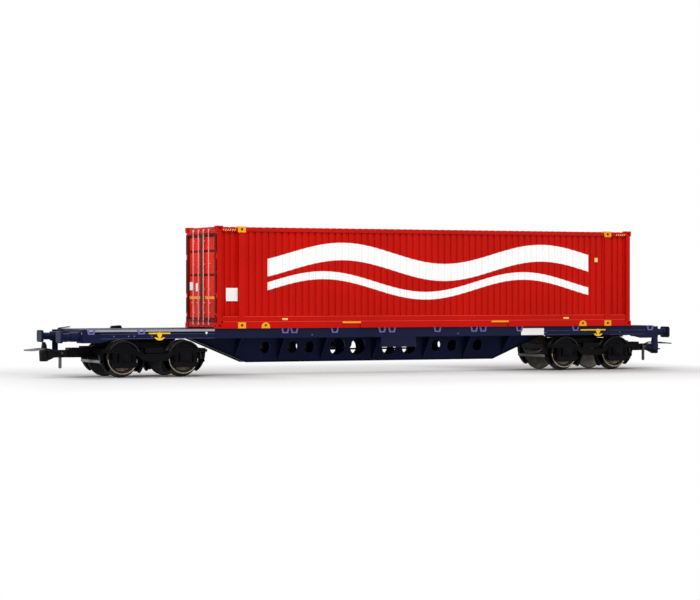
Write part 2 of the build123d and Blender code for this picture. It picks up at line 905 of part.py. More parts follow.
# Couplers: a head with a hook on a neck plugged in the pocket.
neck_x = (pivot_x + pocket_x, pivot_x + pocket_x + neck_long)
nose_x = neck_x[0] + nose_reach
hook_x = (neck_x[0] + hook_reach[0], neck_x[0] + hook_reach[1])
brace_x = neck_x[0] + brace_reach
hinge_x = neck_x[0] + hinge_reach
loop_x = neck_x[0] + loop_reach

with BuildPart() as coupler_head_right:
    with BuildSketch(Plane.XZ):
        with BuildLine():
            Polyline(
                (neck_x[0], neck_z[0]),
                (neck_x[0], neck_z[1]),
                (neck_x[1], neck_z[1]),
                (neck_x[1], nose_z),
                (neck_x[1] - nose_r / 2, nose_z),
                (brace_x, neck_z[0]),
                close=True,
            )
        make_face()
    extrude(amount=neck_half_y, both=True)
    with BuildSketch(Plane.XY.offset(nose_z)):
        with Locations((nose_x, 0)):
            Circle(nose_r)
    extrude(amount=neck_z[1] - nose_z)
    with BuildSketch(Plane.XZ):
        with BuildLine():
            Polyline(
                (hook_x[0], neck_z[1]),
                (hook_x[0], (hook_z + neck_z[1]) / 2),
                ((hook_x[0] * 2 + hook_x[1]) / 3, hook_z),
                ((hook_x[0] + hook_x[1] * 2) / 3, hook_z),
                (hook_x[1], (hook_z + neck_z[1]) / 2),
                (hook_x[1], neck_z[1]),
                close=True,
            )
        make_face()
    extrude(amount=hook_half_y, both=True)
    with BuildSketch(Plane.XZ):
        with Locations((hinge_x, hinge_z)):
            Circle(hinge_bore_r)
    extrude(amount=neck_half_y + cut_over, both=True, mode=Mode.SUBTRACT)
label_and_save(coupler_head_right, "coupler_head_right")

with BuildPart() as coupler_head_left:
    add(coupler_head_right.part.rotate(Axis.Z, 180))
label_and_save(coupler_head_left, "coupler_head_left")

# Coupler loops: a wire bail with a hinge pin and a hanging tail.
with BuildPart() as coupler_loop_right:
    with BuildLine() as bail_path:
        Polyline(
            (hinge_x, -loop_arm_y, hinge_z),
            (hook_x[0], -loop_arm_y - loop_wire_r, loop_tip_z + loop_wire_r),
            (hook_x[1] + loop_wire_r, -loop_half_y, loop_tip_z + loop_wire_r),
            (loop_x - loop_half_y / 2, -loop_half_y, loop_tip_z),
            (loop_x - loop_wire_r, -loop_half_y / 2, loop_tip_z),
            (loop_x - loop_wire_r, loop_half_y / 2, loop_tip_z),
            (loop_x - loop_half_y / 2, loop_half_y, loop_tip_z),
            (hook_x[1] + loop_wire_r, loop_half_y, loop_tip_z + loop_wire_r),
            (hook_x[0], loop_arm_y + loop_wire_r, loop_tip_z + loop_wire_r),
            (hinge_x, loop_arm_y, hinge_z),
        )
    with BuildSketch(Plane(origin=bail_path.line @ 0, z_dir=bail_path.line % 0)):
        Circle(loop_wire_r)
    sweep(path=bail_path.line, transition=Transition.ROUND)
    with BuildSketch(Plane.XZ):
        with Locations((hinge_x, hinge_z)):
            Circle(hinge_pin_r)
    extrude(amount=loop_arm_y + loop_wire_r, both=True)
    with Locations((hinge_x, -loop_arm_y, tail_z)):
        Box(
            2 * tail_half,
            2 * loop_wire_r,
            hinge_z + tail_half - tail_z,
            align=(Align.CENTER, Align.CENTER, Align.MIN),
        )
label_and_save(coupler_loop_right, "coupler_loop_right")

with BuildPart() as coupler_loop_left:
    add(coupler_loop_right.part.rotate(Axis.Z, 180))
label_and_save(coupler_loop_left, "coupler_loop_left")

# Container: corrugated sides with rails and lifting posts, ends, roof and floor around a hollow.
box_x0 = box_mid_x - box_half_x
box_x1 = box_mid_x + box_half_x
box_z1 = box_z0 + box_high
face_y = box_half_y - casting_proud_y
panel_y = face_y - panel_inset
rail_x0 = box_x0 + casting_x
rail_x1 = box_x1 - casting_x
end_face_x0 = box_x0 + casting_proud_x
end_face_x1 = box_x1 - casting_proud_x
side_x0 = end_face_x0 + corner_post_x
side_x1 = end_face_x1 - corner_post_x
lift_mids = (box_x0 + end_bay[0] + lift_x / 2, box_x1 - end_bay[1] - lift_x / 2)
post_x0 = lift_mids[0] - lift_post_x / 2
post_x1 = lift_mids[1] + lift_post_x / 2
panel_x0 = post_x0 + lift_post_x
panel_x1 = post_x1 - lift_post_x
rail_top_z = box_z1 - casting_proud_z - roof_wave
panel_z0 = box_z0 + bottom_rail
panel_z1 = rail_top_z - top_rail
strip_top_z = panel_z0 + strip_high
opening_y = box_half_y - casting_y
rail_deep = face_y - opening_y
lug_x = (box_x0 + lug_inset[0], box_x1 - lug_inset[1])
pocket_mids = (box_mid_x + pocket_from_mid[0], box_mid_x + pocket_from_mid[1])


def flute_line(start, end, outer, dip):
    """Zigzag of broad flats and narrow grooves from start to end, as (along, across) points."""
    count = max(int(round((end - start) / pitch)), 1)
    step = (end - start) / count
    flat = step - 2 * slope - groove
    points = [(start, outer)]
    for number in range(count):
        base = start + number * step + flat / 2
        points = points + [
            (base, outer),
            (base + slope, outer - dip),
            (base + slope + groove, outer - dip),
            (base + 2 * slope + groove, outer),
        ]
    return points + [(end, outer)]


with BuildPart() as container_side_near:
    with BuildSketch(Plane.XY.offset(strip_top_z)):
        for low_x, high_x, outer_y in (
            (side_x0, post_x0, face_y - end_bay_inset),
            (panel_x0, panel_x1, panel_y),
            (post_x1, side_x1, face_y - end_bay_inset),
        ):
            outer_line = flute_line(low_x, high_x, outer_y, flute)
            inner_line = [(x, y - wall) for x, y in reversed(outer_line)]
            with BuildLine():
                Polyline(*[(x, -y) for x, y in outer_line + inner_line], close=True)
            make_face()
    extrude(amount=panel_z1 - strip_top_z)
    with Locations(((side_x0 + side_x1) / 2, -face_y + strip_inset, panel_z0)):
        Box(
            side_x1 - side_x0,
            rail_deep - strip_inset,
            strip_high,
            align=(Align.CENTER, Align.MIN, Align.MIN),
        )
    for post_mid_x in (post_x0 + lift_post_x / 2, post_x1 - lift_post_x / 2):
        with Locations((post_mid_x, -face_y, panel_z0)):
            Box(
                lift_post_x,
                rail_deep,
                panel_z1 - panel_z0,
                align=(Align.CENTER, Align.MIN, Align.MIN),
            )
    with Locations(((rail_x0 + rail_x1) / 2, -face_y, box_z0)):
        Box(
            rail_x1 - rail_x0,
            rail_deep,
            bottom_rail,
            align=(Align.CENTER, Align.MIN, Align.MIN),
        )
    with Locations(((rail_x0 + rail_x1) / 2, -face_y, panel_z1)):
        Box(
            rail_x1 - rail_x0,
            rail_deep,
            top_rail,
            align=(Align.CENTER, Align.MIN, Align.MIN),
        )
    for pocket_mid_x in pocket_mids:
        with Locations((pocket_mid_x, -face_y, box_z0)):
            Box(
                pocket_long,
                pocket_sink,
                pocket_high,
                align=(Align.CENTER, Align.MIN, Align.MIN),
                mode=Mode.SUBTRACT,
            )
label_and_save(container_side_near, "container_side_near")

with BuildPart() as container_side_far:
    mirror(container_side_near.part, about=Plane.XZ)
label_and_save(container_side_far, "container_side_far")

# Roof: a sheet with cross waves between the top rails.
with BuildPart() as container_roof:
    roof_line = flute_line(side_x0, side_x1, rail_top_z + roof_wave, roof_wave)
    with BuildSketch(Plane.XZ):
        with BuildLine():
            Polyline(*roof_line, (side_x1, rail_top_z - wall), (side_x0, rail_top_z - wall), close=True)
        make_face()
    extrude(amount=opening_y, both=True)
label_and_save(container_roof, "container_roof")

with BuildPart() as container_floor:
    with Locations(((side_x0 + side_x1) / 2, 0, box_z0 + bottom_rail)):
        Box(
            side_x1 - side_x0,
            2 * opening_y,
            floor_thick,
            align=(Align.CENTER, Align.CENTER, Align.MAX),
        )
label_and_save(container_floor, "container_floor")

# Front end: two posts, two rails and a fluted panel.
end_panel_line = flute_line(-opening_y, opening_y, end_face_x1 - panel_inset, flute)
end_panel_back = [(y, x - wall) for y, x in reversed(end_panel_line)]
sill_top_z = box_z0 + sill_high
header_z = box_z1 - casting_proud_z - header_high

with BuildPart() as container_front_end:
    with BuildSketch(Plane.XY.offset(sill_top_z)):
        with BuildLine():
            Polyline(*[(x, y) for y, x in end_panel_line + end_panel_back], close=True)
        make_face()
    extrude(amount=header_z - sill_top_z)
    for turn in (-1, 1):
        with Locations((end_face_x1, turn * (face_y + opening_y) / 2, box_z0 + casting_z)):
            Box(
                corner_post_x,
                face_y - opening_y,
                box_high - 2 * casting_z,
                align=(Align.MAX, Align.CENTER, Align.MIN),
            )
    for low_z, high_z in ((box_z0 + casting_proud_z, sill_top_z), (header_z, box_z1 - casting_proud_z)):
        with Locations((end_face_x1, 0, low_z)):
            Box(
                corner_post_x,
                2 * opening_y,
                high_z - low_z,
                align=(Align.MAX, Align.CENTER, Align.MIN),
            )
label_and_save(container_front_end, "container_front_end")

# Door end: frame of posts, header and sill, with hinge leaves on the posts.
door_face_x = end_face_x0 + door_inset
door_high = header_z - sill_top_z

with BuildPart() as container_door_frame:
    for turn in (-1, 1):
        with Locations((end_face_x0, turn * (face_y + opening_y) / 2, box_z0 + casting_z)):
            Box(
                corner_post_x,
                face_y - opening_y,
                box_high - 2 * casting_z,
                align=(Align.MIN, Align.CENTER, Align.MIN),
            )
        for hinge_at_share in hinge_share:
            with Locations((end_face_x0, turn * opening_y, sill_top_z + door_high * hinge_at_share)):
                Box(
                    hinge_out,
                    hinge_wide,
                    hinge_high,
                    align=(Align.MAX, Align.MIN if turn > 0 else Align.MAX, Align.MIN),
                )
    for low_z, high_z in ((box_z0 + casting_proud_z, sill_top_z), (header_z, box_z1 - casting_proud_z)):
        with Locations((end_face_x0, 0, low_z)):
            Box(
                corner_post_x,
                2 * opening_y,
                high_z - low_z,
                align=(Align.MIN, Align.CENTER, Align.MIN),
            )
label_and_save(container_door_frame, "container_door_frame")

# Doors: two moulded leaves with recessed bands.
door_wide = opening_y - door_gap / 2

with BuildPart() as container_door_near:
    with Locations((door_face_x, -door_gap / 2, sill_top_z)):
        Box(door_thick, door_wide, door_high, align=(Align.MIN, Align.MAX, Align.MIN))
    for band_share in door_groove_share:
        with Locations((door_face_x, -door_gap / 2 - door_wide / 2, sill_top_z + door_high * band_share)):
            Box(
                door_groove_deep,
                door_wide - 2 * door_edge,
                door_groove,
                align=(Align.MIN, Align.CENTER, Align.CENTER),
                mode=Mode.SUBTRACT,
            )
label_and_save(container_door_near, "container_door_near")

with BuildPart() as container_door_far:
    mirror(container_door_near.part, about=Plane.XZ)
label_and_save(container_door_far, "container_door_far")

# Lock rods: four uprights held in guides, each with a handle.
rod_x = end_face_x0 - rod_r
guide_low_z = box_z0 + casting_proud_z + rod_guide / 2
guide_rise = box_high - 2 * casting_proud_z - rod_guide

with BuildPart() as door_lock_rods:
    for side_sign in (-1, 1):
        for rod_share in rod_y_share:
            rod_y = side_sign * opening_y * rod_share
            with BuildSketch(Plane.XY.offset(guide_low_z)):
                with Locations((rod_x, rod_y)):
                    Circle(rod_r)
            extrude(amount=guide_rise)
            for guide_share in rod_guide_share:
                guide_z = guide_low_z + guide_rise * guide_share
                on_frame = guide_z < sill_top_z + rod_guide / 2 or guide_z > header_z - rod_guide / 2
                with Locations((end_face_x0 if on_frame else door_face_x, rod_y, guide_z)):
                    Box(
                        (end_face_x0 if on_frame else door_face_x) - rod_x + rod_r,
                        rod_guide,
                        rod_guide,
                        align=(Align.MAX, Align.CENTER, Align.CENTER),
                    )
            with Locations((rod_x, rod_y, sill_top_z + door_high * handle_share)):
                Box(
                    rod_r * 2,
                    handle_long / 2,
                    handle_high,
                    align=(Align.CENTER, Align.MIN if side_sign < 0 else Align.MAX, Align.CENTER),
                )
label_and_save(door_lock_rods, "door_lock_rods")

# Corner castings, each with slots in its outer faces.
with BuildPart() as corner_castings:
    for end_x, end_turn in ((box_x0, 1), (box_x1, -1)):
        for turn in (-1, 1):
            for low_z, up in ((box_z0, 1), (box_z1, -1)):
                casting_mid_x = end_x + end_turn * casting_x / 2
                casting_mid_y = turn * (box_half_y - casting_y / 2)
                casting_mid_z = low_z + up * casting_z / 2
                with Locations((casting_mid_x, casting_mid_y, casting_mid_z)):
                    Box(casting_x, casting_y, casting_z)
                with Locations((casting_mid_x, turn * (box_half_y - slot_deep / 2), casting_mid_z)):
                    Box(slot_x, slot_deep, slot_y, mode=Mode.SUBTRACT)
                with Locations((casting_mid_x, casting_mid_y, low_z + up * slot_deep / 2)):
                    Box(slot_x, slot_y, slot_deep, mode=Mode.SUBTRACT)
                with Locations((end_x + end_turn * slot_deep / 2, casting_mid_y, casting_mid_z)):
                    Box(slot_deep, slot_y, slot_y, mode=Mode.SUBTRACT)
label_and_save(corner_castings, "corner_castings")

# Lifting castings at the ends of the posts, each with a round slot, the top ones lapping the rail.
with BuildPart() as lift_castings:
    for lift_mid_x in lift_mids:
        for turn in (-1, 1):
            with Locations((lift_mid_x, turn * face_y, rail_top_z)):
                Box(
                    lift_x,
                    rail_deep,
                    lift_rise,
                    align=(Align.CENTER, Align.MAX if turn > 0 else Align.MIN, Align.MIN),
                )
            for low_z, up in ((box_z0, 1), (rail_top_z + lift_rise, -1)):
                with Locations((lift_mid_x, turn * face_y, low_z + up * lift_z / 2)):
                    Box(
                        lift_x,
                        lift_proud,
                        lift_z,
                        align=(Align.CENTER, Align.MIN if turn > 0 else Align.MAX, Align.CENTER),
                    )
                with BuildSketch(Plane.XZ.offset(-turn * (face_y + lift_proud))):
                    with Locations((lift_mid_x, low_z + up * lift_z / 2)):
                        Circle(lift_slot_r)
                extrude(amount=turn * lift_proud, mode=Mode.SUBTRACT)
label_and_save(lift_castings, "lift_castings")

# Lifting lugs: half discs with a hole on the bottom rails.
with BuildPart() as lift_lugs:
    for lug_mid_x in lug_x:
        for turn in (-1, 1):
            with BuildSketch(Plane.XZ.offset(-turn * face_y)):
                with Locations((lug_mid_x, box_z0 + lug_high - lug_r)):
                    Circle(lug_r)
                    Rectangle(2 * lug_r, lug_high - lug_r, align=(Align.CENTER, Align.MAX))
                with Locations((lug_mid_x, box_z0)):
                    Rectangle(
                        2 * lug_r,
                        2 * lug_r,
                        align=(Align.CENTER, Align.MAX),
                        mode=Mode.SUBTRACT,
                    )
                with Locations((lug_mid_x, box_z0 + lug_high / 2)):
                    Circle(lug_hole_r, mode=Mode.SUBTRACT)
            extrude(amount=-turn * lift_proud)
label_and_save(lift_lugs, "lift_lugs")
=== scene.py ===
"""Dresses a packed 1:87 model of a bogie container wagon: finishes, turned metal, small fittings.

The CAD solids carry the construction. This file gives every one of them a finish, and swaps the
turned and bent metal pieces for smooth surfaces worked out with numpy.
"""

import logging
import math
from dataclasses import dataclass
from enum import Enum

import bpy
import numpy as np
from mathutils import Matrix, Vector


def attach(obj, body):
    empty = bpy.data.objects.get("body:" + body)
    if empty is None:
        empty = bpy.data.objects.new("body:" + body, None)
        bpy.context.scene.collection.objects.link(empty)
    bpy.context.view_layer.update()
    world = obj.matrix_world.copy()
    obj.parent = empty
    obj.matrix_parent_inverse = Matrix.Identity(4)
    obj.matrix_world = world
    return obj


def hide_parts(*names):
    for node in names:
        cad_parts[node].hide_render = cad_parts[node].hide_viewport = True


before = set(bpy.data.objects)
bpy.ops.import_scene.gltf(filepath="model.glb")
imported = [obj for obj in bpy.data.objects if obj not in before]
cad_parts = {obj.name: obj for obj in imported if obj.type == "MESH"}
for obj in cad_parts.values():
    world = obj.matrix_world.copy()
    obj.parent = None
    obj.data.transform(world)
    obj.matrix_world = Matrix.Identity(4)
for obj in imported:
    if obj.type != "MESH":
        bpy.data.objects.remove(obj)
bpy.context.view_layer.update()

MM = 0.001
FULL_TURN = 2.0 * math.pi
SMOOTH_ANGLE = math.radians(32.0)

LOG = logging.getLogger("wagon")

Colour = tuple[float, float, float]
Point = tuple[float, float, float]
Pairs = tuple[tuple[float, float], ...]
Rows = tuple[tuple[float, ...], ...]

WHITE = (1.0, 1.0, 1.0, 1.0)
BUMP_STRENGTH = 0.6
CONTAINER_RED = (0.51, 0.0052, 0.0014)
CONTAINER_SHADE = (0.43, 0.0038, 0.0010)


# Surfaces


@dataclass
class Shell:
    """A closed surface: rings of points carried one after another along a piece.

    Attributes:
        rings: Array (ring, point, xyz) in millimetres. Each ring closes on itself.
        looped: Whether the last ring joins the first, as in a torus.
        finish: Which of the piece's materials it takes.
    """

    rings: np.ndarray
    looped: bool = False
    finish: int = 0


def ring_quads(ring_count: int, point_count: int, looped: bool) -> np.ndarray:
    """Corner numbers of the quads between neighbouring rings.

    Args:
        ring_count: How many rings there are.
        point_count: How many points each ring has.
        looped: Whether the last ring joins the first.

    Returns:
        Array (quad, 4) of vertex numbers.
    """
    bands = ring_count if looped else ring_count - 1
    ring = np.arange(bands)[:, None]
    point = np.arange(point_count)[None, :]
    next_ring = (ring + 1) % ring_count
    next_point = (point + 1) % point_count
    corners = (
        ring * point_count + point,
        ring * point_count + next_point,
        next_ring * point_count + next_point,
        next_ring * point_count + point,
    )
    return np.stack([np.broadcast_to(c, (bands, point_count)) for c in corners], -1).reshape(-1, 4)


def signed_volume(points: np.ndarray, quads: np.ndarray, caps: list[np.ndarray]) -> float:
    """Volume inside a closed surface, negative where its faces point inwards.

    The volume is a sixth of the sum, over all triangles, of the box product of their corners.

    Args:
        points: Array (point, xyz).
        quads: Array (quad, 4).
        caps: Vertex numbers of each end face.

    Returns:
        The signed volume.
    """
    triangles = [quads[:, [0, 1, 2]], quads[:, [0, 2, 3]]]
    for cap in caps:
        fan = np.stack([np.full(len(cap) - 2, cap[0]), cap[1:-1], cap[2:]], -1)
        triangles.append(fan)
    corner = points[np.concatenate(triangles)]
    return float(np.einsum("ij,ij->", corner[:, 0], np.cross(corner[:, 1], corner[:, 2])) / 6.0)


def build_piece(
    name: str,
    shells: list[Shell],
    body: str,
    finishes: list[bpy.types.Material],
    replaced: tuple[str, ...] = (),
) -> bpy.types.Object:
    """Joins shells into one mesh object that rides on a body of the frame.

    Args:
        name: The piece's name.
        shells: Its surfaces, in millimetres.
        body: The body it moves with.
        finishes: Its materials, in the order that the shells number them.
        replaced: CAD nodes that it stands for.

    Returns:
        The new object.
    """
    points, faces, marks = [], [], []
    start = 0
    for shell in shells:
        ring_count, point_count = shell.rings.shape[:2]
        flat = shell.rings.reshape(-1, 3).astype(float)
        quads = ring_quads(ring_count, point_count, shell.looped)
        caps = []
        if not shell.looped:
            caps = [np.arange(point_count)[::-1], np.arange(point_count) + (ring_count - 1) * point_count]
        if signed_volume(flat - flat.mean(0), quads, caps) < 0:
            quads = quads[:, ::-1]
            caps = [cap[::-1] for cap in caps]
        points.append(flat)
        faces.extend((quads + start).tolist())
        faces.extend((cap + start).tolist() for cap in caps)
        marks.extend([shell.finish] * (len(quads) + len(caps)))
        start += len(flat)
    mesh = bpy.data.meshes.new(name)
    mesh.from_pydata((np.concatenate(points) * MM).tolist(), [], faces)
    for finish in finishes:
        mesh.materials.append(finish)
    mesh.polygons.foreach_set("material_index", np.array(marks, np.int32))
    mesh.polygons.foreach_set("use_smooth", np.ones(len(marks), bool))
    mesh.set_sharp_from_angle(angle=SMOOTH_ANGLE)
    mesh.update()
    piece = bpy.data.objects.new(name, mesh)
    bpy.context.scene.collection.objects.link(piece)
    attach(piece, body)
    if replaced:
        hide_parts(*replaced)
    LOG.info("%s: %d faces on %s", name, len(faces), body)
    return piece


def lathe(profile: list[tuple[float, float]], centre: Point, axis: str, sides: int = 96) -> np.ndarray:
    """Turns a profile about an axis.

    Each ring holds one profile point (radius, along) at every angle: across = radius * cos(angle),
    up = radius * sin(angle), and along is added on the axis.

    Args:
        profile: Points (radius, along) in order, open at both ends.
        centre: The point that the axis passes through.
        axis: "x", "y" or "z".
        sides: How many points go round.

    Returns:
        Rings for a shell.
    """
    angle = np.linspace(0.0, FULL_TURN, sides, endpoint=False)
    radius, along = np.array(profile, float).T
    rings = np.zeros((len(profile), sides, 3))
    axis_at = "xyz".index(axis)
    first_at, second_at = [i for i in range(3) if i != axis_at]
    rings[:, :, first_at] = radius[:, None] * np.cos(angle)
    rings[:, :, second_at] = radius[:, None] * np.sin(angle)
    rings[:, :, axis_at] = along[:, None]
    return rings + np.array(centre)


def tube(path: np.ndarray, radius: float, up: Point = (0.0, 0.0, 1.0), sides: int = 14) -> np.ndarray:
    """Carries a circle along a path.

    Each ring lies across the path: path point + radius * (cos(angle) * side + sin(angle) * lift),
    where side is the path's direction crossed with up, and lift is at right angles to both.

    Args:
        path: Array (point, xyz).
        radius: The tube's radius.
        up: A direction that the path never runs along.
        sides: How many points go round.

    Returns:
        Rings for a shell.
    """
    path = np.asarray(path, float)
    along = np.gradient(path, axis=0)
    along /= np.linalg.norm(along, axis=1, keepdims=True)
    side = np.cross(along, np.array(up, float))
    side /= np.linalg.norm(side, axis=1, keepdims=True)
    lift = np.cross(side, along)
    angle = np.linspace(0.0, FULL_TURN, sides, endpoint=False)
    return (
        path[:, None]
        + radius * np.cos(angle)[None, :, None] * side[:, None]
        + radius * np.sin(angle)[None, :, None] * lift[:, None]
    )


def rounded_outline(wide: float, high: float, radius: float, steps: int = 5) -> np.ndarray:
    """Outline of a rectangle with quarter circles at its corners.

    Args:
        wide: Its full width.
        high: Its full height.
        radius: The corners' radius.
        steps: Points on each corner.

    Returns:
        Array (point, 2), going round once.
    """
    angle = np.linspace(0.0, FULL_TURN / 4.0, steps)
    corner = np.stack([np.cos(angle), np.sin(angle)], -1) * radius
    turned = []
    for quarter, (sign_x, sign_y) in enumerate(((1, 1), (-1, 1), (-1, -1), (1, -1))):
        cosine, sine = math.cos(quarter * FULL_TURN / 4.0), math.sin(quarter * FULL_TURN / 4.0)
        arc = corner @ np.array([[cosine, sine], [-sine, cosine]])
        turned.append(arc + np.array([sign_x * (wide / 2 - radius), sign_y * (high / 2 - radius)]))
    return np.concatenate(turned)


def slab(centre: Point, size: Point, axis: str, radius: float, bevel: float = 0.06) -> np.ndarray:
    """A flat plate with round corners and small bevels, standing across an axis.

    Four rings are one outline: drawn in by the bevel, full, full, and drawn in again.

    Args:
        centre: The plate's middle.
        size: Its full size along x, y and z.
        axis: The axis that its faces look along.
        radius: The corners' radius.
        bevel: How far the edges are cut.

    Returns:
        Rings for a shell.
    """
    axis_at = "xyz".index(axis)
    first_at, second_at = [i for i in range(3) if i != axis_at]
    half = size[axis_at] / 2
    bevel = min(bevel, half * 0.9, radius * 0.9)
    rings = []
    for inset, along in ((bevel, -half), (0.0, -half + bevel), (0.0, half - bevel), (bevel, half)):
        outline = rounded_outline(
            size[first_at] - 2 * inset, size[second_at] - 2 * inset, max(radius - inset, 0.01)
        )
        ring = np.zeros((len(outline), 3))
        ring[:, first_at], ring[:, second_at] = outline.T
        ring[:, axis_at] = along
        rings.append(ring)
    return np.stack(rings) + np.array(centre)


def bar(corners: list[tuple[float, float]], low: float, high: float, axis: str) -> np.ndarray:
    """A straight bar with a drawn outline.

    Args:
        corners: The outline's points, in the two axes other than the bar's own.
        low: Where it starts along its axis.
        high: Where it ends.
        axis: The axis that it runs along.

    Returns:
        Rings for a shell.
    """
    axis_at = "xyz".index(axis)
    first_at, second_at = [i for i in range(3) if i != axis_at]
    ring = np.zeros((2, len(corners), 3))
    ring[:, :, first_at], ring[:, :, second_at] = np.array(corners, float).T
    ring[0, :, axis_at], ring[1, :, axis_at] = low, high
    return ring


def arc_band(
    centre: tuple[float, float],
    turn: tuple[float, float],
    inner: tuple[float, float],
    outer: tuple[float, float],
    depth: tuple[float, float],
    steps: int = 18,
) -> np.ndarray:
    """A curved block round an axis along y, whose two radii change evenly along the turn.

    Each ring is a four-cornered cut at one angle: x = centre + radius * cos(angle),
    z = centre + radius * sin(angle), with the inner and the outer radius at both depths.

    Args:
        centre: The axis, as x and z.
        turn: Angles at which it starts and ends, in degrees.
        inner: Inner radius at its start and end.
        outer: Outer radius at its start and end.
        depth: Where it starts and ends along y.
        steps: How many rings it has.

    Returns:
        Rings for a shell.
    """
    share = np.linspace(0.0, 1.0, steps)
    angle = np.radians(turn[0] + (turn[1] - turn[0]) * share)
    low, high = (pair[0] + (pair[1] - pair[0]) * share for pair in (inner, outer))
    radius = np.stack([low, high, high, low], -1)
    along = np.broadcast_to(np.array([depth[0], depth[0], depth[1], depth[1]]), radius.shape)
    across = centre[0] + radius * np.cos(angle)[:, None]
    up = centre[1] + radius * np.sin(angle)[:, None]
    return np.stack([across, along, up], -1)


def smooth_path(knots: list[Point], count: int = 60) -> np.ndarray:
    """A smooth path through knots.

    Between two knots the path is the Catmull-Rom cubic of the four nearest ones.

    Args:
        knots: The points that it passes through.
        count: How many points it returns.

    Returns:
        Array (count, xyz).
    """
    given = np.array(knots, float)
    padded = np.concatenate([[2 * given[0] - given[1]], given, [2 * given[-1] - given[-2]]])
    place = np.linspace(0.0, len(given) - 1.000001, count)
    start = place.astype(int)
    t = (place - start)[:, None]
    p0, p1, p2, p3 = (padded[start + i] for i in range(4))
    return 0.5 * (
        2 * p1 + (p2 - p0) * t + (2 * p0 - 5 * p1 + 4 * p2 - p3) * t**2 + (3 * p1 - p0 - 3 * p2 + p3) * t**3
    )


# Finishes


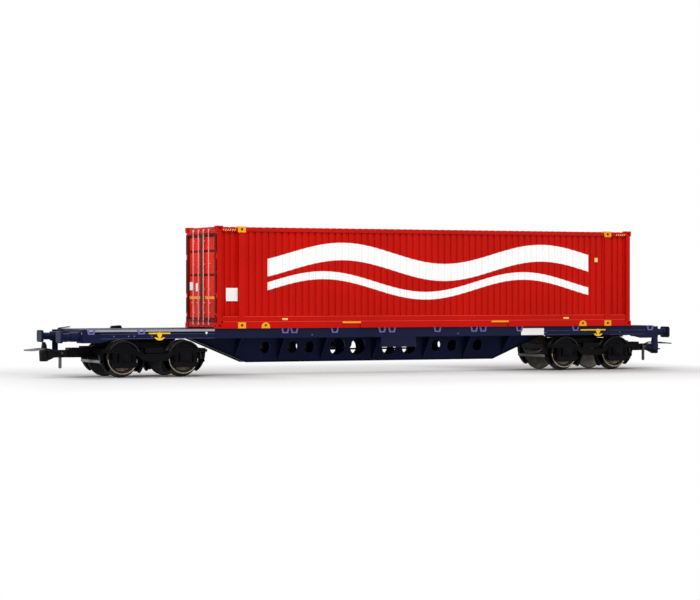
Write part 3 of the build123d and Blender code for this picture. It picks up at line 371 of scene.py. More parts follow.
class Recipe:
    """Adds and joins the shader nodes of one material."""

    def __init__(self, name: str) -> None:
        """Starts an empty material.

        Args:
            name: The material's name.
        """
        self.material = bpy.data.materials.new(name)
        self.material.use_nodes = True
        self.tree = self.material.node_tree
        self.tree.nodes.clear()
        self.output = self.tree.nodes.new("ShaderNodeOutputMaterial")
        self.place = self.tree.nodes.new("ShaderNodeTexCoord").outputs["Object"]

    def join(self, source: object, target: bpy.types.NodeSocket) -> None:
        """Links a socket to a target, or writes a number or colour into it.

        Args:
            source: A socket, a number or a colour.
            target: The socket that takes it.
        """
        if isinstance(source, bpy.types.NodeSocket):
            self.tree.links.new(source, target)
        else:
            target.default_value = source

    def noise(self, scale: float, detail: float = 3.0, stretch: Point | None = None) -> bpy.types.NodeSocket:
        """Cloudy values from 0 to 1 over the object's own coordinates.

        Args:
            scale: Clouds in a metre.
            detail: How many finer layers are added.
            stretch: Factors along x, y and z, or None.

        Returns:
            The factor socket.
        """
        node = self.tree.nodes.new("ShaderNodeTexNoise")
        node.inputs["Scale"].default_value = scale
        node.inputs["Detail"].default_value = detail
        place = self.place
        if stretch is not None:
            mapping = self.tree.nodes.new("ShaderNodeMapping")
            mapping.inputs["Scale"].default_value = stretch
            self.join(self.place, mapping.inputs["Vector"])
            place = mapping.outputs["Vector"]
        self.join(place, node.inputs["Vector"])
        return node.outputs["Fac"]

    def math(self, operation: str, first: object, second: object = 0.0) -> bpy.types.NodeSocket:
        """One arithmetic step.

        Args:
            operation: Blender's name of the step.
            first: A socket or number.
            second: A socket or number.

        Returns:
            The result's socket.
        """
        node = self.tree.nodes.new("ShaderNodeMath")
        node.operation = operation
        self.join(first, node.inputs[0])
        self.join(second, node.inputs[1])
        return node.outputs[0]

    def span(
        self, value: object, low: float, high: float, to_low: float, to_high: float
    ) -> bpy.types.NodeSocket:
        """Carries a value from one range to another and stops it at the ends.

        Args:
            value: The socket to carry over.
            low: The value that gives to_low.
            high: The value that gives to_high.
            to_low: One end of the new range.
            to_high: The other end.

        Returns:
            The result's socket.
        """
        node = self.tree.nodes.new("ShaderNodeMapRange")
        for name, number in (("From Min", low), ("From Max", high), ("To Min", to_low), ("To Max", to_high)):
            node.inputs[name].default_value = number
        self.join(value, node.inputs["Value"])
        return node.outputs["Result"]

    def mix(self, share: object, first: object, second: object) -> bpy.types.NodeSocket:
        """Mixes two colours by a share from 0 to 1.

        Args:
            share: A socket or number.
            first: The colour at 0, a socket or three numbers.
            second: The colour at 1, a socket or three numbers.

        Returns:
            The mixed colour's socket.
        """
        node = self.tree.nodes.new("ShaderNodeMix")
        node.data_type = "RGBA"
        self.join(share, node.inputs[0])
        for value, target in ((first, node.inputs[6]), (second, node.inputs[7])):
            self.join(value if isinstance(value, bpy.types.NodeSocket) else (*value, 1.0), target)
        return node.outputs[2]

    def axes(self) -> tuple[bpy.types.NodeSocket, ...]:
        """Sockets of the object's own x, y and z, in metres.

        Returns:
            The three sockets, in order.
        """
        node = self.tree.nodes.new("ShaderNodeSeparateXYZ")
        self.join(self.place, node.inputs[0])
        return node.outputs[0], node.outputs[1], node.outputs[2]

    def near(self, value: object, middle: float, half: float, soft: float) -> bpy.types.NodeSocket:
        """A band: 1 where a value is near its middle, 0 elsewhere.

        Args:
            value: The socket to test.
            middle: The band's middle.
            half: Half its width.
            soft: How far its edges fade.

        Returns:
            The band's socket.
        """
        away = self.math("ABSOLUTE", self.math("SUBTRACT", value, middle))
        return self.span(away, half - soft, half + soft, 1.0, 0.0)

    def finish(
        self,
        colour: object,
        roughness: object,
        height: bpy.types.NodeSocket,
        depth: float,
        metallic: float = 0.0,
        specular: float = 0.5,
    ) -> bpy.types.Material:
        """Joins colour, roughness and bump to the surface shader.

        Args:
            colour: The base colour.
            roughness: The roughness.
            height: The bump's height.
            depth: The bump's depth in metres.
            metallic: 1 for bare metal.
            specular: Strength of the plain reflection.

        Returns:
            The finished material.
        """
        shader = self.tree.nodes.new("ShaderNodeBsdfPrincipled")
        self.join(colour, shader.inputs["Base Color"])
        self.join(roughness, shader.inputs["Roughness"])
        shader.inputs["Metallic"].default_value = metallic
        shader.inputs["Specular IOR Level"].default_value = specular
        bump = self.tree.nodes.new("ShaderNodeBump")
        bump.inputs["Distance"].default_value = depth
        bump.inputs["Strength"].default_value = BUMP_STRENGTH
        self.join(height, bump.inputs["Height"])
        self.join(bump.outputs["Normal"], shader.inputs["Normal"])
        self.join(shader.outputs["BSDF"], self.output.inputs["Surface"])
        return self.material


@dataclass(frozen=True)
class Moulded:
    """Plain moulded or sprayed surface with a fine grain and slow changes of tone.

    Attributes:
        name: The material's name.
        colour: Its main colour.
        shade: The darker tone in its clouds.
        rough: Its mean roughness.
        grain: Grains in a metre.
        depth: How deep the grain is, in metres.
        dust: Colour of the dust that lies on it.
        dust_share: How much dust there is at most.
        specular: Strength of its plain reflection.
        clouds: Clouds of tone in a metre.
        specks: Specks of dust in a metre.
        wear: Patches of changed roughness in a metre.
    """

    name: str
    colour: Colour
    shade: Colour
    rough: float = 0.42
    grain: float = 2600.0
    depth: float = 0.00002
    dust: Colour = (0.30, 0.28, 0.25)
    dust_share: float = 0.012
    specular: float = 0.06
    clouds: float = 60.0
    specks: float = 900.0
    wear: float = 240.0

    def base(self, recipe: Recipe) -> bpy.types.NodeSocket:
        """Colour before dust: slow clouds between the shade and the colour."""
        clouds = recipe.span(recipe.noise(self.clouds, 4.0), 0.3, 0.7, 0.0, 1.0)
        return recipe.mix(clouds, self.shade, self.colour)

    def make(self) -> bpy.types.Material:
        """Builds the material.

        Returns:
            The finished material.
        """
        recipe = Recipe(self.name)
        specks = recipe.span(recipe.noise(self.specks, 5.0), 0.58, 0.78, 0.0, self.dust_share)
        colour = recipe.mix(specks, self.base(recipe), self.dust)
        grain = recipe.noise(self.grain, 2.0)
        rough = recipe.span(recipe.noise(self.wear, 4.0), 0.3, 0.7, self.rough - 0.05, self.rough + 0.07)
        return recipe.finish(colour, rough, grain, self.depth, specular=self.specular)


@dataclass(frozen=True)
class WaveBand:
    """A painted band that rises and falls along the container's side, in metres.

    Attributes:
        middle: Mean height.
        swing: How far it rises and falls.
        length: Length of one wave.
        shift: Where along x a rise starts.
        half: Half the band's height.
        start: Where the band starts along x.
        end: Where it ends.
        soft: How far its edges fade.
    """

    middle: float
    swing: float
    length: float
    shift: float
    half: float
    start: float
    end: float
    soft: float = 0.00006

    def mask(self, recipe: Recipe) -> bpy.types.NodeSocket:
        """1 on the band: height minus middle minus swing * sin(turns along x) is within half.

        Args:
            recipe: The material that it goes into.

        Returns:
            The band's socket.
        """
        x, _, z = recipe.axes()
        turns = recipe.math("MULTIPLY", recipe.math("SUBTRACT", x, self.shift), FULL_TURN / self.length)
        wave = recipe.math("MULTIPLY", recipe.math("SINE", turns), self.swing)
        band = recipe.near(recipe.math("SUBTRACT", z, wave), self.middle, self.half, self.soft)
        reach = recipe.near(x, (self.start + self.end) / 2, (self.end - self.start) / 2, self.soft)
        return recipe.math("MULTIPLY", band, reach)


@dataclass(frozen=True)
class PaintedSide(Moulded):
    """The container's side: red with plain white waves printed over the flutes."""

    print_colour: Colour = (0.86, 0.86, 0.85)
    bands: tuple[WaveBand, ...] = ()

    def base(self, recipe: Recipe) -> bpy.types.NodeSocket:
        """Red clouds, with the print laid over them.

        Args:
            recipe: The material that it goes into.

        Returns:
            The colour's socket.
        """
        colour = super().base(recipe)
        for band in self.bands:
            colour = recipe.mix(band.mask(recipe), colour, self.print_colour)
        return colour


@dataclass(frozen=True)
class StripedLeaf(Moulded):
    """A door leaf with one painted stripe across it."""

    stripe: Colour = (0.9, 0.45, 0.04)
    stripe_z: float = 0.0256
    stripe_half: float = 0.00042
    stripe_soft: float = 0.00004

    def base(self, recipe: Recipe) -> bpy.types.NodeSocket:
        """Red clouds, with a stripe at one height.

        Args:
            recipe: The material that it goes into.

        Returns:
            The colour's socket.
        """
        _, _, z = recipe.axes()
        band = recipe.near(z, self.stripe_z, self.stripe_half, self.stripe_soft)
        return recipe.mix(band, super().base(recipe), self.stripe)


@dataclass(frozen=True)
class TurnedMetal:
    """Bare metal turned on a lathe, with fine rings and slow tarnish."""

    name: str
    colour: Colour
    tarnish: Colour
    rough: float = 0.3
    ring_axis: str = "y"
    rings: float = 5200.0
    metallic: float = 1.0
    tarnish_scale: float = 420.0
    depth: float = 0.00001

    def base(self, recipe: Recipe, clouds: bpy.types.NodeSocket) -> bpy.types.NodeSocket:
        """The metal's colour, tarnished by the clouds."""
        return recipe.mix(clouds, self.colour, self.tarnish)

    def make(self) -> bpy.types.Material:
        """Builds the material.

        Returns:
            The finished material.
        """
        recipe = Recipe(self.name)
        clouds = recipe.span(recipe.noise(self.tarnish_scale, 5.0), 0.35, 0.7, 0.0, 1.0)
        stretch = {"x": (1.0, 0.05, 0.05), "y": (0.05, 1.0, 0.05), "z": (0.05, 0.05, 1.0)}[self.ring_axis]
        grooves = recipe.noise(self.rings, 2.0, stretch)
        colour = self.base(recipe, clouds)
        rough = recipe.span(clouds, 0.0, 1.0, self.rough - 0.06, self.rough + 0.12)
        return recipe.finish(colour, rough, grooves, self.depth, metallic=self.metallic)


@dataclass(frozen=True)
class BentWire(TurnedMetal):
    """Wire that is black near the wagon's middle and bare metal towards its ends, by the distance |x| in
    metres.
    """

    black: Colour = (0.012, 0.012, 0.014)
    black_to_bare: tuple[float, float] = (0.1150, 0.1168)

    def base(self, recipe: Recipe, clouds: bpy.types.NodeSocket) -> bpy.types.NodeSocket:
        """Black inside, the bare metal's colour outside."""
        share = recipe.span(recipe.math("ABSOLUTE", recipe.axes()[0]), *self.black_to_bare, 0.0, 1.0)
        return recipe.mix(share, self.black, super().base(recipe, clouds))


class Paint(Enum):
    """Every finish on the wagon, by the piece that wears it."""

    SILL = Moulded(
        "sill_navy",
        (0.0072, 0.0100, 0.037),
        (0.0046, 0.0066, 0.025),
        rough=0.34,
        dust_share=0.006,
        specular=0.045,
    )
    # Lighter navy-lilac lines along the rail's face: painted highlight.
    EDGE_HIGHLIGHT = Moulded("sill_edge_highlight", (0.050, 0.058, 0.14), (0.032, 0.037, 0.09), rough=0.36)
    BRACKET = Moulded("bracket_lilac", (0.145, 0.138, 0.36), (0.100, 0.095, 0.27), rough=0.4)
    # Black for the fittings, and for the belly flange and the rail's dark line as painted shade.
    FITTING_AND_SHADE = Moulded(
        "fitting_black",
        (0.0048, 0.0048, 0.0066),
        (0.0024, 0.0024, 0.0036),
        rough=0.46,
        dust_share=0.004,
        specular=0.03,
    )
    LEVER = Moulded("lever_yellow", (0.82, 0.52, 0.030), (0.70, 0.38, 0.015), rough=0.36, dust_share=0.02)
    SIDE = PaintedSide(
        "container_side_red",
        CONTAINER_RED,
        CONTAINER_SHADE,
        rough=0.36,
        dust_share=0.004,
        specular=0.04,
        bands=(
            WaveBand(0.0375, 0.0034, 0.076, -0.035, 0.0029, -0.043, 0.079),
            WaveBand(0.0296, 0.0034, 0.076, -0.042, 0.0013, -0.043, 0.079),
        ),
    )
    SHEET = Moulded(
        "container_red", CONTAINER_RED, CONTAINER_SHADE, rough=0.36, dust_share=0.004, specular=0.04
    )
    # Lighter red lines along the bottom rail's edges: painted highlight.
    BEAD_HIGHLIGHT = Moulded("bead_highlight_red", (0.74, 0.050, 0.030), (0.62, 0.034, 0.022), rough=0.36, dust_share=0.01)
    DOOR = StripedLeaf(
        "door_red", (0.70, 0.014, 0.0045), (0.58, 0.010, 0.0032), rough=0.34, dust_share=0.004, specular=0.035
    )
    ROD = Moulded("rod_pale", (0.80, 0.36, 0.31), (0.66, 0.24, 0.20), rough=0.32)
    CASTING = Moulded("casting_orange", (0.84, 0.38, 0.014), (0.70, 0.27, 0.008), rough=0.4, dust_share=0.02)
    # Black for the bogies, and for the arches over the wheel tops as painted shade.
    BOGIE_AND_SHADE = Moulded(
        "bogie_black",
        (0.0042, 0.0042, 0.0054),
        (0.0020, 0.0020, 0.0027),
        rough=0.40,
        grain=1800.0,
        depth=0.00003,
        dust_share=0.005,
        specular=0.035,
    )
    COUPLER = Moulded(
        "coupler_black", (0.0065, 0.0060, 0.0065), (0.0030, 0.0028, 0.0032), rough=0.42, dust_share=0.006
    )
    PIPE = Moulded("pipe_grey", (0.20, 0.20, 0.20), (0.12, 0.12, 0.12), rough=0.5)
    # Dark grey lips over the wheel tops: painted shade.
    WHEEL_TOP_SHADE = Moulded("wheel_top_shade_grey", (0.026, 0.025, 0.024), (0.012, 0.012, 0.012), rough=0.45)
    BEAM = Moulded("beam_grey", (0.30, 0.30, 0.30), (0.17, 0.17, 0.17), rough=0.4, dust_share=0.05)
    PLATE = Moulded("plate_white", (0.80, 0.80, 0.79), (0.72, 0.72, 0.71), rough=0.35, dust_share=0.05)
    TAG = Moulded("tag_yellow", (0.84, 0.62, 0.20), (0.70, 0.48, 0.12), rough=0.4)
    # Dark maroon strips on the door end: painted shade.
    DOOR_SHADE = Moulded("door_painted_shade_maroon", (0.11, 0.010, 0.008), (0.06, 0.006, 0.005), rough=0.6)
    # Dark brown discs in the casting holes: painted shade.
    HOLE_SHADE = Moulded("hole_painted_shade", (0.060, 0.022, 0.006), (0.034, 0.012, 0.004), rough=0.7)
    # Pale grey: painted sheen on the rail's top strip; the end tags take it too.
    SHEEN_AND_TAG = Moulded("pale_sheen_and_tag", (0.34, 0.35, 0.39), (0.24, 0.25, 0.29), rough=0.4, dust_share=0.03)
    LOOP = BentWire(
        "loop_steel", (0.15, 0.16, 0.15), (0.08, 0.085, 0.08), rough=0.36, ring_axis="x", rings=2600.0
    )
    TAIL = TurnedMetal(
        "tail_grey", (0.15, 0.16, 0.15), (0.08, 0.085, 0.08), rough=0.36, ring_axis="z", rings=2600.0
    )
    # Blue-black for the pins, and for the right end's tail as painted shade.
    PIN_AND_TAIL_SHADE = TurnedMetal(
        "pin_and_tail_shade_dark", (0.020, 0.023, 0.032), (0.010, 0.012, 0.018), rough=0.4, ring_axis="z", metallic=0.3
    )
    TREAD = TurnedMetal("tread_bright", (0.50, 0.44, 0.35), (0.32, 0.26, 0.19), rough=0.28)
    TYRE = TurnedMetal("tyre_dark", (0.016, 0.014, 0.013), (0.008, 0.007, 0.0065), rough=0.42, metallic=0.2)
    DISC = TurnedMetal("disc_brown", (0.17, 0.115, 0.08), (0.09, 0.06, 0.042), rough=0.46, metallic=0.3)
    # Lighter and darker copies of the wheels' back: painted light on the right bogie, painted shade on the
    # left.
    BACK_LIT = TurnedMetal("wheel_back_lit", (0.19, 0.17, 0.145), (0.10, 0.09, 0.078), rough=0.5, metallic=0.3)
    BACK_SHADED = TurnedMetal(
        "wheel_back_shaded", (0.016, 0.015, 0.015), (0.008, 0.0075, 0.0075), rough=0.5, metallic=0.3
    )
    AXLE = TurnedMetal("axle_steel", (0.30, 0.28, 0.26), (0.18, 0.16, 0.15), rough=0.34)


class Palette:
    """Makes each finish once, when it is first asked for."""

    def __init__(self) -> None:
        """Starts with nothing made."""
        self.made: dict[Paint, bpy.types.Material] = {}

    def get(self, paint: Paint) -> bpy.types.Material:
        """The material of a finish.

        Args:
            paint: The finish.

        Returns:
            The material.
        """
        if paint not in self.made:
            self.made[paint] = paint.value.make()
        return self.made[paint]

    def pick(self, *paints: Paint) -> list[bpy.types.Material]:
        """The materials of some finishes, in order."""
        return [self.get(paint) for paint in paints]

    def dress(self, paint: Paint, *nodes: str) -> None:
        """Puts a finish on CAD nodes.

        Args:
            paint: The finish.
            nodes: The nodes' names.
        """
        for name in nodes:
            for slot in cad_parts[name].material_slots:
                slot.material = self.get(paint)


# Sub-assemblies

ENDS = (("left", -1), ("right", 1))
SIDES = (("near", -1), ("far", 1))


@dataclass
class Underframe:
    """Spine, rails, ribs, headstocks and what is bolted to them. All sizes are in millimetres."""

    rail_y: float = 13.0
    rivet_r: float = 0.24
    rivet_high: float = 0.16
    rivet_foot: float = 0.05
    rivet_turn: float = 1.45
    rivet_x: tuple[float, ...] = (-96.0, -91.0, -89.1, -83.2, -27.0, 27.5, 62.0, 92.2)
    rivet_z: float = 13.3
    edge_z: tuple[float, float] = (14.02, 12.55)
    edge_high: float = 0.22
    edge_spans: Pairs = ((-100.5, -61.6), (62.0, 71.8), (88.0, 102.6))
    trim_thick: float = 0.16
    # Each strip's lower edge, upper edge and material: a pale strip of painted sheen at the rail's top, and a
    # black line of painted shade below it.
    sheen_shade_strips: tuple[tuple[float, float, int], ...] = ((14.72, 15.46, 1), (14.14, 14.68, 2))
    sheen_shade_span: tuple[float, float] = (-104.2, -61.6)
    sheen_shade_thick: float = 0.12
    plate_mid: tuple[float, float] = (56.7, 13.75)
    plate_size: tuple[float, float] = (9.1, 2.4)
    # Its place along the wagon, height and radius.
    button: Point = (-64.5, 14.2, 0.42)
    tag_mid: Point = (106.36, 11.8, 14.3)
    tag_size: Point = (0.16, 0.8, 0.8)
    belly: Pairs = ((-65.7, 12.4), (-46.5, 4.5), (46.5, 4.5), (65.7, 12.4))
    belly_y: float = 2.35
    # How far it reaches outwards and down.
    flange_size: tuple[float, float] = (0.5, 0.32)
    block_mid_x: float = 81.6
    block_size: tuple[float, float] = (19.4, 9.8)
    block_z: tuple[float, float] = (11.35, 12.45)
    web_plate_x: tuple[float, ...] = (-39.9, -30.1, -23.9)
    web_plate: Point = (0.4, 3.6, 5.0)
    web_plate_z: float = 9.9
    # Each spigot's middle along the wagon, thickness and rise.
    folds: tuple[Point, ...] = ((-104.5, 0.3, 0.35), (-86.7, 0.9, 0.0), (98.93, 0.5, 0.0))
    fold_long: float = 3.7
    fold_y: tuple[float, float] = (10.6, 12.6)
    deck_z: float = 15.6

    def dress(self, palette: Palette) -> None:
        """Gives the CAD nodes their finishes.

        Args:
            palette: The finishes, each made once.
        """
        for side, _ in SIDES:
            palette.dress(Paint.SILL, f"main_beam_{side}", f"side_rail_{side}")
            palette.dress(Paint.SILL, f"gusset_ribs_{side}", f"shunter_step_{side}")
            palette.dress(Paint.BRACKET, f"lock_brackets_{side}")
            palette.dress(Paint.LEVER, f"levers_{side}")
        for end, _ in ENDS:
            palette.dress(Paint.SILL, f"headstock_{end}")
            palette.dress(Paint.FITTING_AND_SHADE, f"bolster_{end}")
        palette.dress(Paint.SILL, "cross_bearers", "brake_cabinet")
        palette.dress(Paint.FITTING_AND_SHADE, "air_reservoir", "brake_rod")

    def rivet(self, x: float, sign: int) -> Shell:
        """A low dome on the rail's face: radius * cosine across, height * sine outwards.

        Args:
            x: Where it stands along the wagon.
            sign: -1 on the near side, 1 on the far side.

        Returns:
            Its surface.
        """
        turn = np.linspace(0.0, self.rivet_turn, 5)
        profile = [(self.rivet_r, -sign * self.rivet_foot)]
        profile += [(self.rivet_r * math.cos(a), sign * self.rivet_high * math.sin(a)) for a in turn]
        return Shell(lathe(profile, (x, sign * self.rail_y, self.rivet_z), "y", sides=16))

    def edge(self, start: float, end: float, z: float, sign: int) -> Shell:
        """A thin raised edge along the rail's face, in a lighter finish: a painted highlight."""
        size = (end - start, self.trim_thick, self.edge_high)
        return Shell(slab(((start + end) / 2, sign * (self.rail_y + 0.05), z), size, "y", 0.08, 0.04))

    def sheen_shade_strip(self, low: float, high: float, mark: int, sign: int) -> Shell:
        """A flat strip along the top of the rail's face: painted sheen in the pale finish, painted shade in
        the black one.

        Args:
            low: Its lower edge.
            high: Its upper edge.
            mark: Which of the piece's materials it takes.
            sign: -1 on the near side, 1 on the far side.

        Returns:
            Its surface.
        """
        start, end = self.sheen_shade_span
        size = (end - start, self.sheen_shade_thick, high - low)
        place = ((start + end) / 2, sign * (self.rail_y + 0.03), (low + high) / 2)
        return Shell(slab(place, size, "y", 0.06, 0.03), finish=mark)

    def flange(self, sign: int) -> Shell:
        """The belly plate's edge: a flat strip carried along the belly line, as four-cornered rings. It is
        black: painted shade.

        Args:
            sign: -1 on the near side, 1 on the far side.

        Returns:
            Its surface.
        """
        wide, high = self.flange_size
        corners = ((0.0, 0.0), (0.0, -high), (wide, -high), (wide, 0.0))
        rings = [[(x, sign * (self.belly_y + out), z + up) for out, up in corners] for x, z in self.belly]
        return Shell(np.array(rings))

    def plates(self, sign: int) -> list[Shell]:
        """A blank name plate and a small round button on the rail's face.

        Args:
            sign: -1 on the near side, 1 on the far side.

        Returns:
            Their surfaces.
        """
        middle = (self.plate_mid[0], sign * (self.rail_y + 0.06), self.plate_mid[1])
        plate = slab(middle, (self.plate_size[0], self.trim_thick, self.plate_size[1]), "y", 0.1, 0.04)
        x, z, radius = self.button
        face = sign * (self.rail_y + 0.1)
        profile = [(radius, face - sign * 0.15), (radius, face), (0.1, face + sign * 0.05)]
        return [Shell(plate), Shell(lathe(profile, (x, 0.0, z), "y", sides=20))]

    def pads(self) -> list[Shell]:
        """Blocks over the bogies, and plates across the spine behind three of its holes.

        Returns:
            Their surfaces.
        """
        low, high = self.block_z
        size = (*self.block_size, high - low)
        middle_z = (low + high) / 2
        blocks = [slab((sign * self.block_mid_x, 0.0, middle_z), size, "z", 0.6, 0.1) for _, sign in ENDS]
        blocks += [slab((x, 0.0, self.web_plate_z), self.web_plate, "x", 0.2, 0.05) for x in self.web_plate_x]
        return [Shell(rings) for rings in blocks]

    def fold(self, x: float, thick: float, rise: float) -> Shell:
        """A spigot folded on the deck: a four-cornered outline, raised at one end, carried across.

        Args:
            x: Its middle along the wagon.
            thick: Its thickness.
            rise: How much higher its right end lies.

        Returns:
            Its surface.
        """
        start, end = x - self.fold_long / 2, x + self.fold_long / 2
        corners = [
            (start, self.deck_z),
            (end, self.deck_z + rise),
            (end - thick / 2, self.deck_z + rise + thick),
            (start + thick / 2, self.deck_z + thick * 0.8),
        ]
        return Shell(bar(corners, *self.fold_y, "y"))

    def build(self, palette: Palette) -> None:
        """Adds rivets, strips of painted highlight, sheen and shade on the rails, the belly flange in painted
        shade, blank plates, pads and spigots.

        Args:
            palette: The finishes, each made once.
        """
        for side, sign in SIDES:
            rivets = [self.rivet(x, sign) for x in self.rivet_x]
            build_piece(f"rail_rivets_{side}", rivets, "wagon", palette.pick(Paint.BRACKET))
            # The rail's face takes lines of painted highlight, a strip of painted sheen and a line of painted
            # shade.
            edges = [self.edge(*span, z, sign) for z in self.edge_z for span in self.edge_spans]
            edges += [self.sheen_shade_strip(*strip, sign) for strip in self.sheen_shade_strips]
            paints = palette.pick(Paint.EDGE_HIGHLIGHT, Paint.SHEEN_AND_TAG, Paint.FITTING_AND_SHADE)
            build_piece(f"rail_light_and_shade_strips_{side}", edges, "wagon", paints)
            flange = [self.flange(sign)]
            build_piece(f"belly_flange_{side}", flange, "wagon", palette.pick(Paint.FITTING_AND_SHADE))
            plates = self.plates(sign)
            build_piece(f"rail_plate_{side}", plates, "wagon", palette.pick(Paint.PLATE))
        for end, sign in ENDS:
            x, y, z = self.tag_mid
            tags = [Shell(slab((sign * x, side * y, z), self.tag_size, "x", 0.1, 0.04)) for _, side in SIDES]
            build_piece(f"end_tags_{end}", tags, "wagon", palette.pick(Paint.SHEEN_AND_TAG))
        black = palette.pick(Paint.FITTING_AND_SHADE)
        build_piece("spine_pads", self.pads(), "wagon", black)
        folds = [self.fold(*fold) for fold in self.folds]
        build_piece("spigot_folds", folds, "wagon", black, ("folded_spigots",))


@dataclass
class Buffers:
    """Turned sleeves and stems with oblong heads. All sizes are in millimetres."""

    pad_x: float = 106.7
    face_x: float = 113.45
    mid_y: float = 10.06
    mid_z: float = 13.2
    sleeve_r: float = 1.55
    stem_r: float = 1.15
    head: Point = (0.85, 5.2, 3.9)
    head_round: float = 0.9

    def build(self, palette: Palette) -> None:
        """Builds both pairs in place of the CAD ones.

        Args:
            palette: The finishes, each made once.
        """
        head_x = self.face_x - self.head[0]
        profile = [
            (self.sleeve_r, self.pad_x - 0.1),
            (self.sleeve_r, self.pad_x + 2.85),
            (self.sleeve_r - 0.1, self.pad_x + 3.0),
            (self.stem_r, self.pad_x + 3.05),
            (self.stem_r, head_x - 0.5),
            (self.stem_r + 0.4, head_x + 0.1),
        ]
        for end, end_sign in ENDS:
            shells = []
            for _, sign in SIDES:
                axis = (0.0, sign * self.mid_y, self.mid_z)
                turned = lathe([(r, end_sign * x) for r, x in profile], axis, "x", sides=40)
                middle = (end_sign * (head_x + self.head[0] / 2), sign * self.mid_y, self.mid_z)
                shells += [Shell(turned), Shell(slab(middle, self.head, "x", self.head_round, 0.14))]
            name, node, navy = f"buffer_pair_{end}", f"buffers_{end}", palette.pick(Paint.SILL)
            build_piece(name, shells, "wagon", navy, (node,))


@dataclass
class Wheelset:
    """Two flanged wheels, each with a bright tread ring and a dished disc. All sizes are in millimetres.

    Attributes:
        number: Which of the four wheelsets it is.
        centre_x: Where its axle stands along the wagon.
        back: The finish of the wheels' flat backs: a lighter copy on the right bogie as painted light, a
            darker one on the left as painted shade.
        centre_z: The axle's height.
        sides: How many points go round a wheel.
        outline: Points (radius, distance from the middle, finish), going round the rim's cut once.
    """

    number: str
    centre_x: float
    back: Paint
    centre_z: float = 6.1
    sides: int = 96
    outline: tuple[tuple[float, float, int], ...] = (
        (0.75, 7.0, 3),
        (1.35, 7.0, 3),
        (1.5, 7.3, 3),
        (3.6, 7.38, 3),
        (5.6, 7.2, 3),
        (5.8, 7.2, 1),
        (6.02, 7.3, 1),
        (6.1, 7.5, 1),
        (6.02, 7.72, 1),
        (5.7, 7.9, 1),
        (5.4, 8.0, 1),
        (5.27, 8.2, 1),
        (5.22, 9.7, 1),
        (5.12, 9.95, 1),
        (5.03, 10.0, 0),
        (4.8, 10.0, 1),
        (4.5, 10.0, 1),
        (4.35, 9.85, 2),
        (4.2, 9.3, 2),
        (4.0, 9.1, 0),
        (3.8, 9.05, 2),
        (2.9, 8.95, 2),
        (1.75, 9.25, 2),
        (1.55, 9.8, 1),
        (1.45, 9.85, 1),
        (0.75, 9.85, 1),
    )

    def build(self, palette: Palette) -> None:
        """Builds both wheels and dresses the axle.

        Args:
            palette: The finishes, each made once.
        """
        finishes = palette.pick(Paint.TREAD, Paint.TYRE, Paint.DISC, self.back)
        axis = (self.centre_x, 0.0, self.centre_z)
        shells = []
        for _, sign in SIDES:
            closed = [(radius, sign * y) for radius, y, _ in self.outline]
            shells.append(Shell(lathe(closed, axis, "y", self.sides), looped=True))
        name, body, node = f"turned_wheels_{self.number}", f"wheelset_{self.number}", f"wheels_{self.number}"
        piece = build_piece(name, shells, body, finishes, (node,))
        marks = np.repeat([mark for _, _, mark in self.outline], self.sides)
        piece.data.polygons.foreach_set("material_index", np.tile(marks, len(SIDES)).astype(np.int32))
        palette.dress(Paint.AXLE, f"axle_{self.number}")


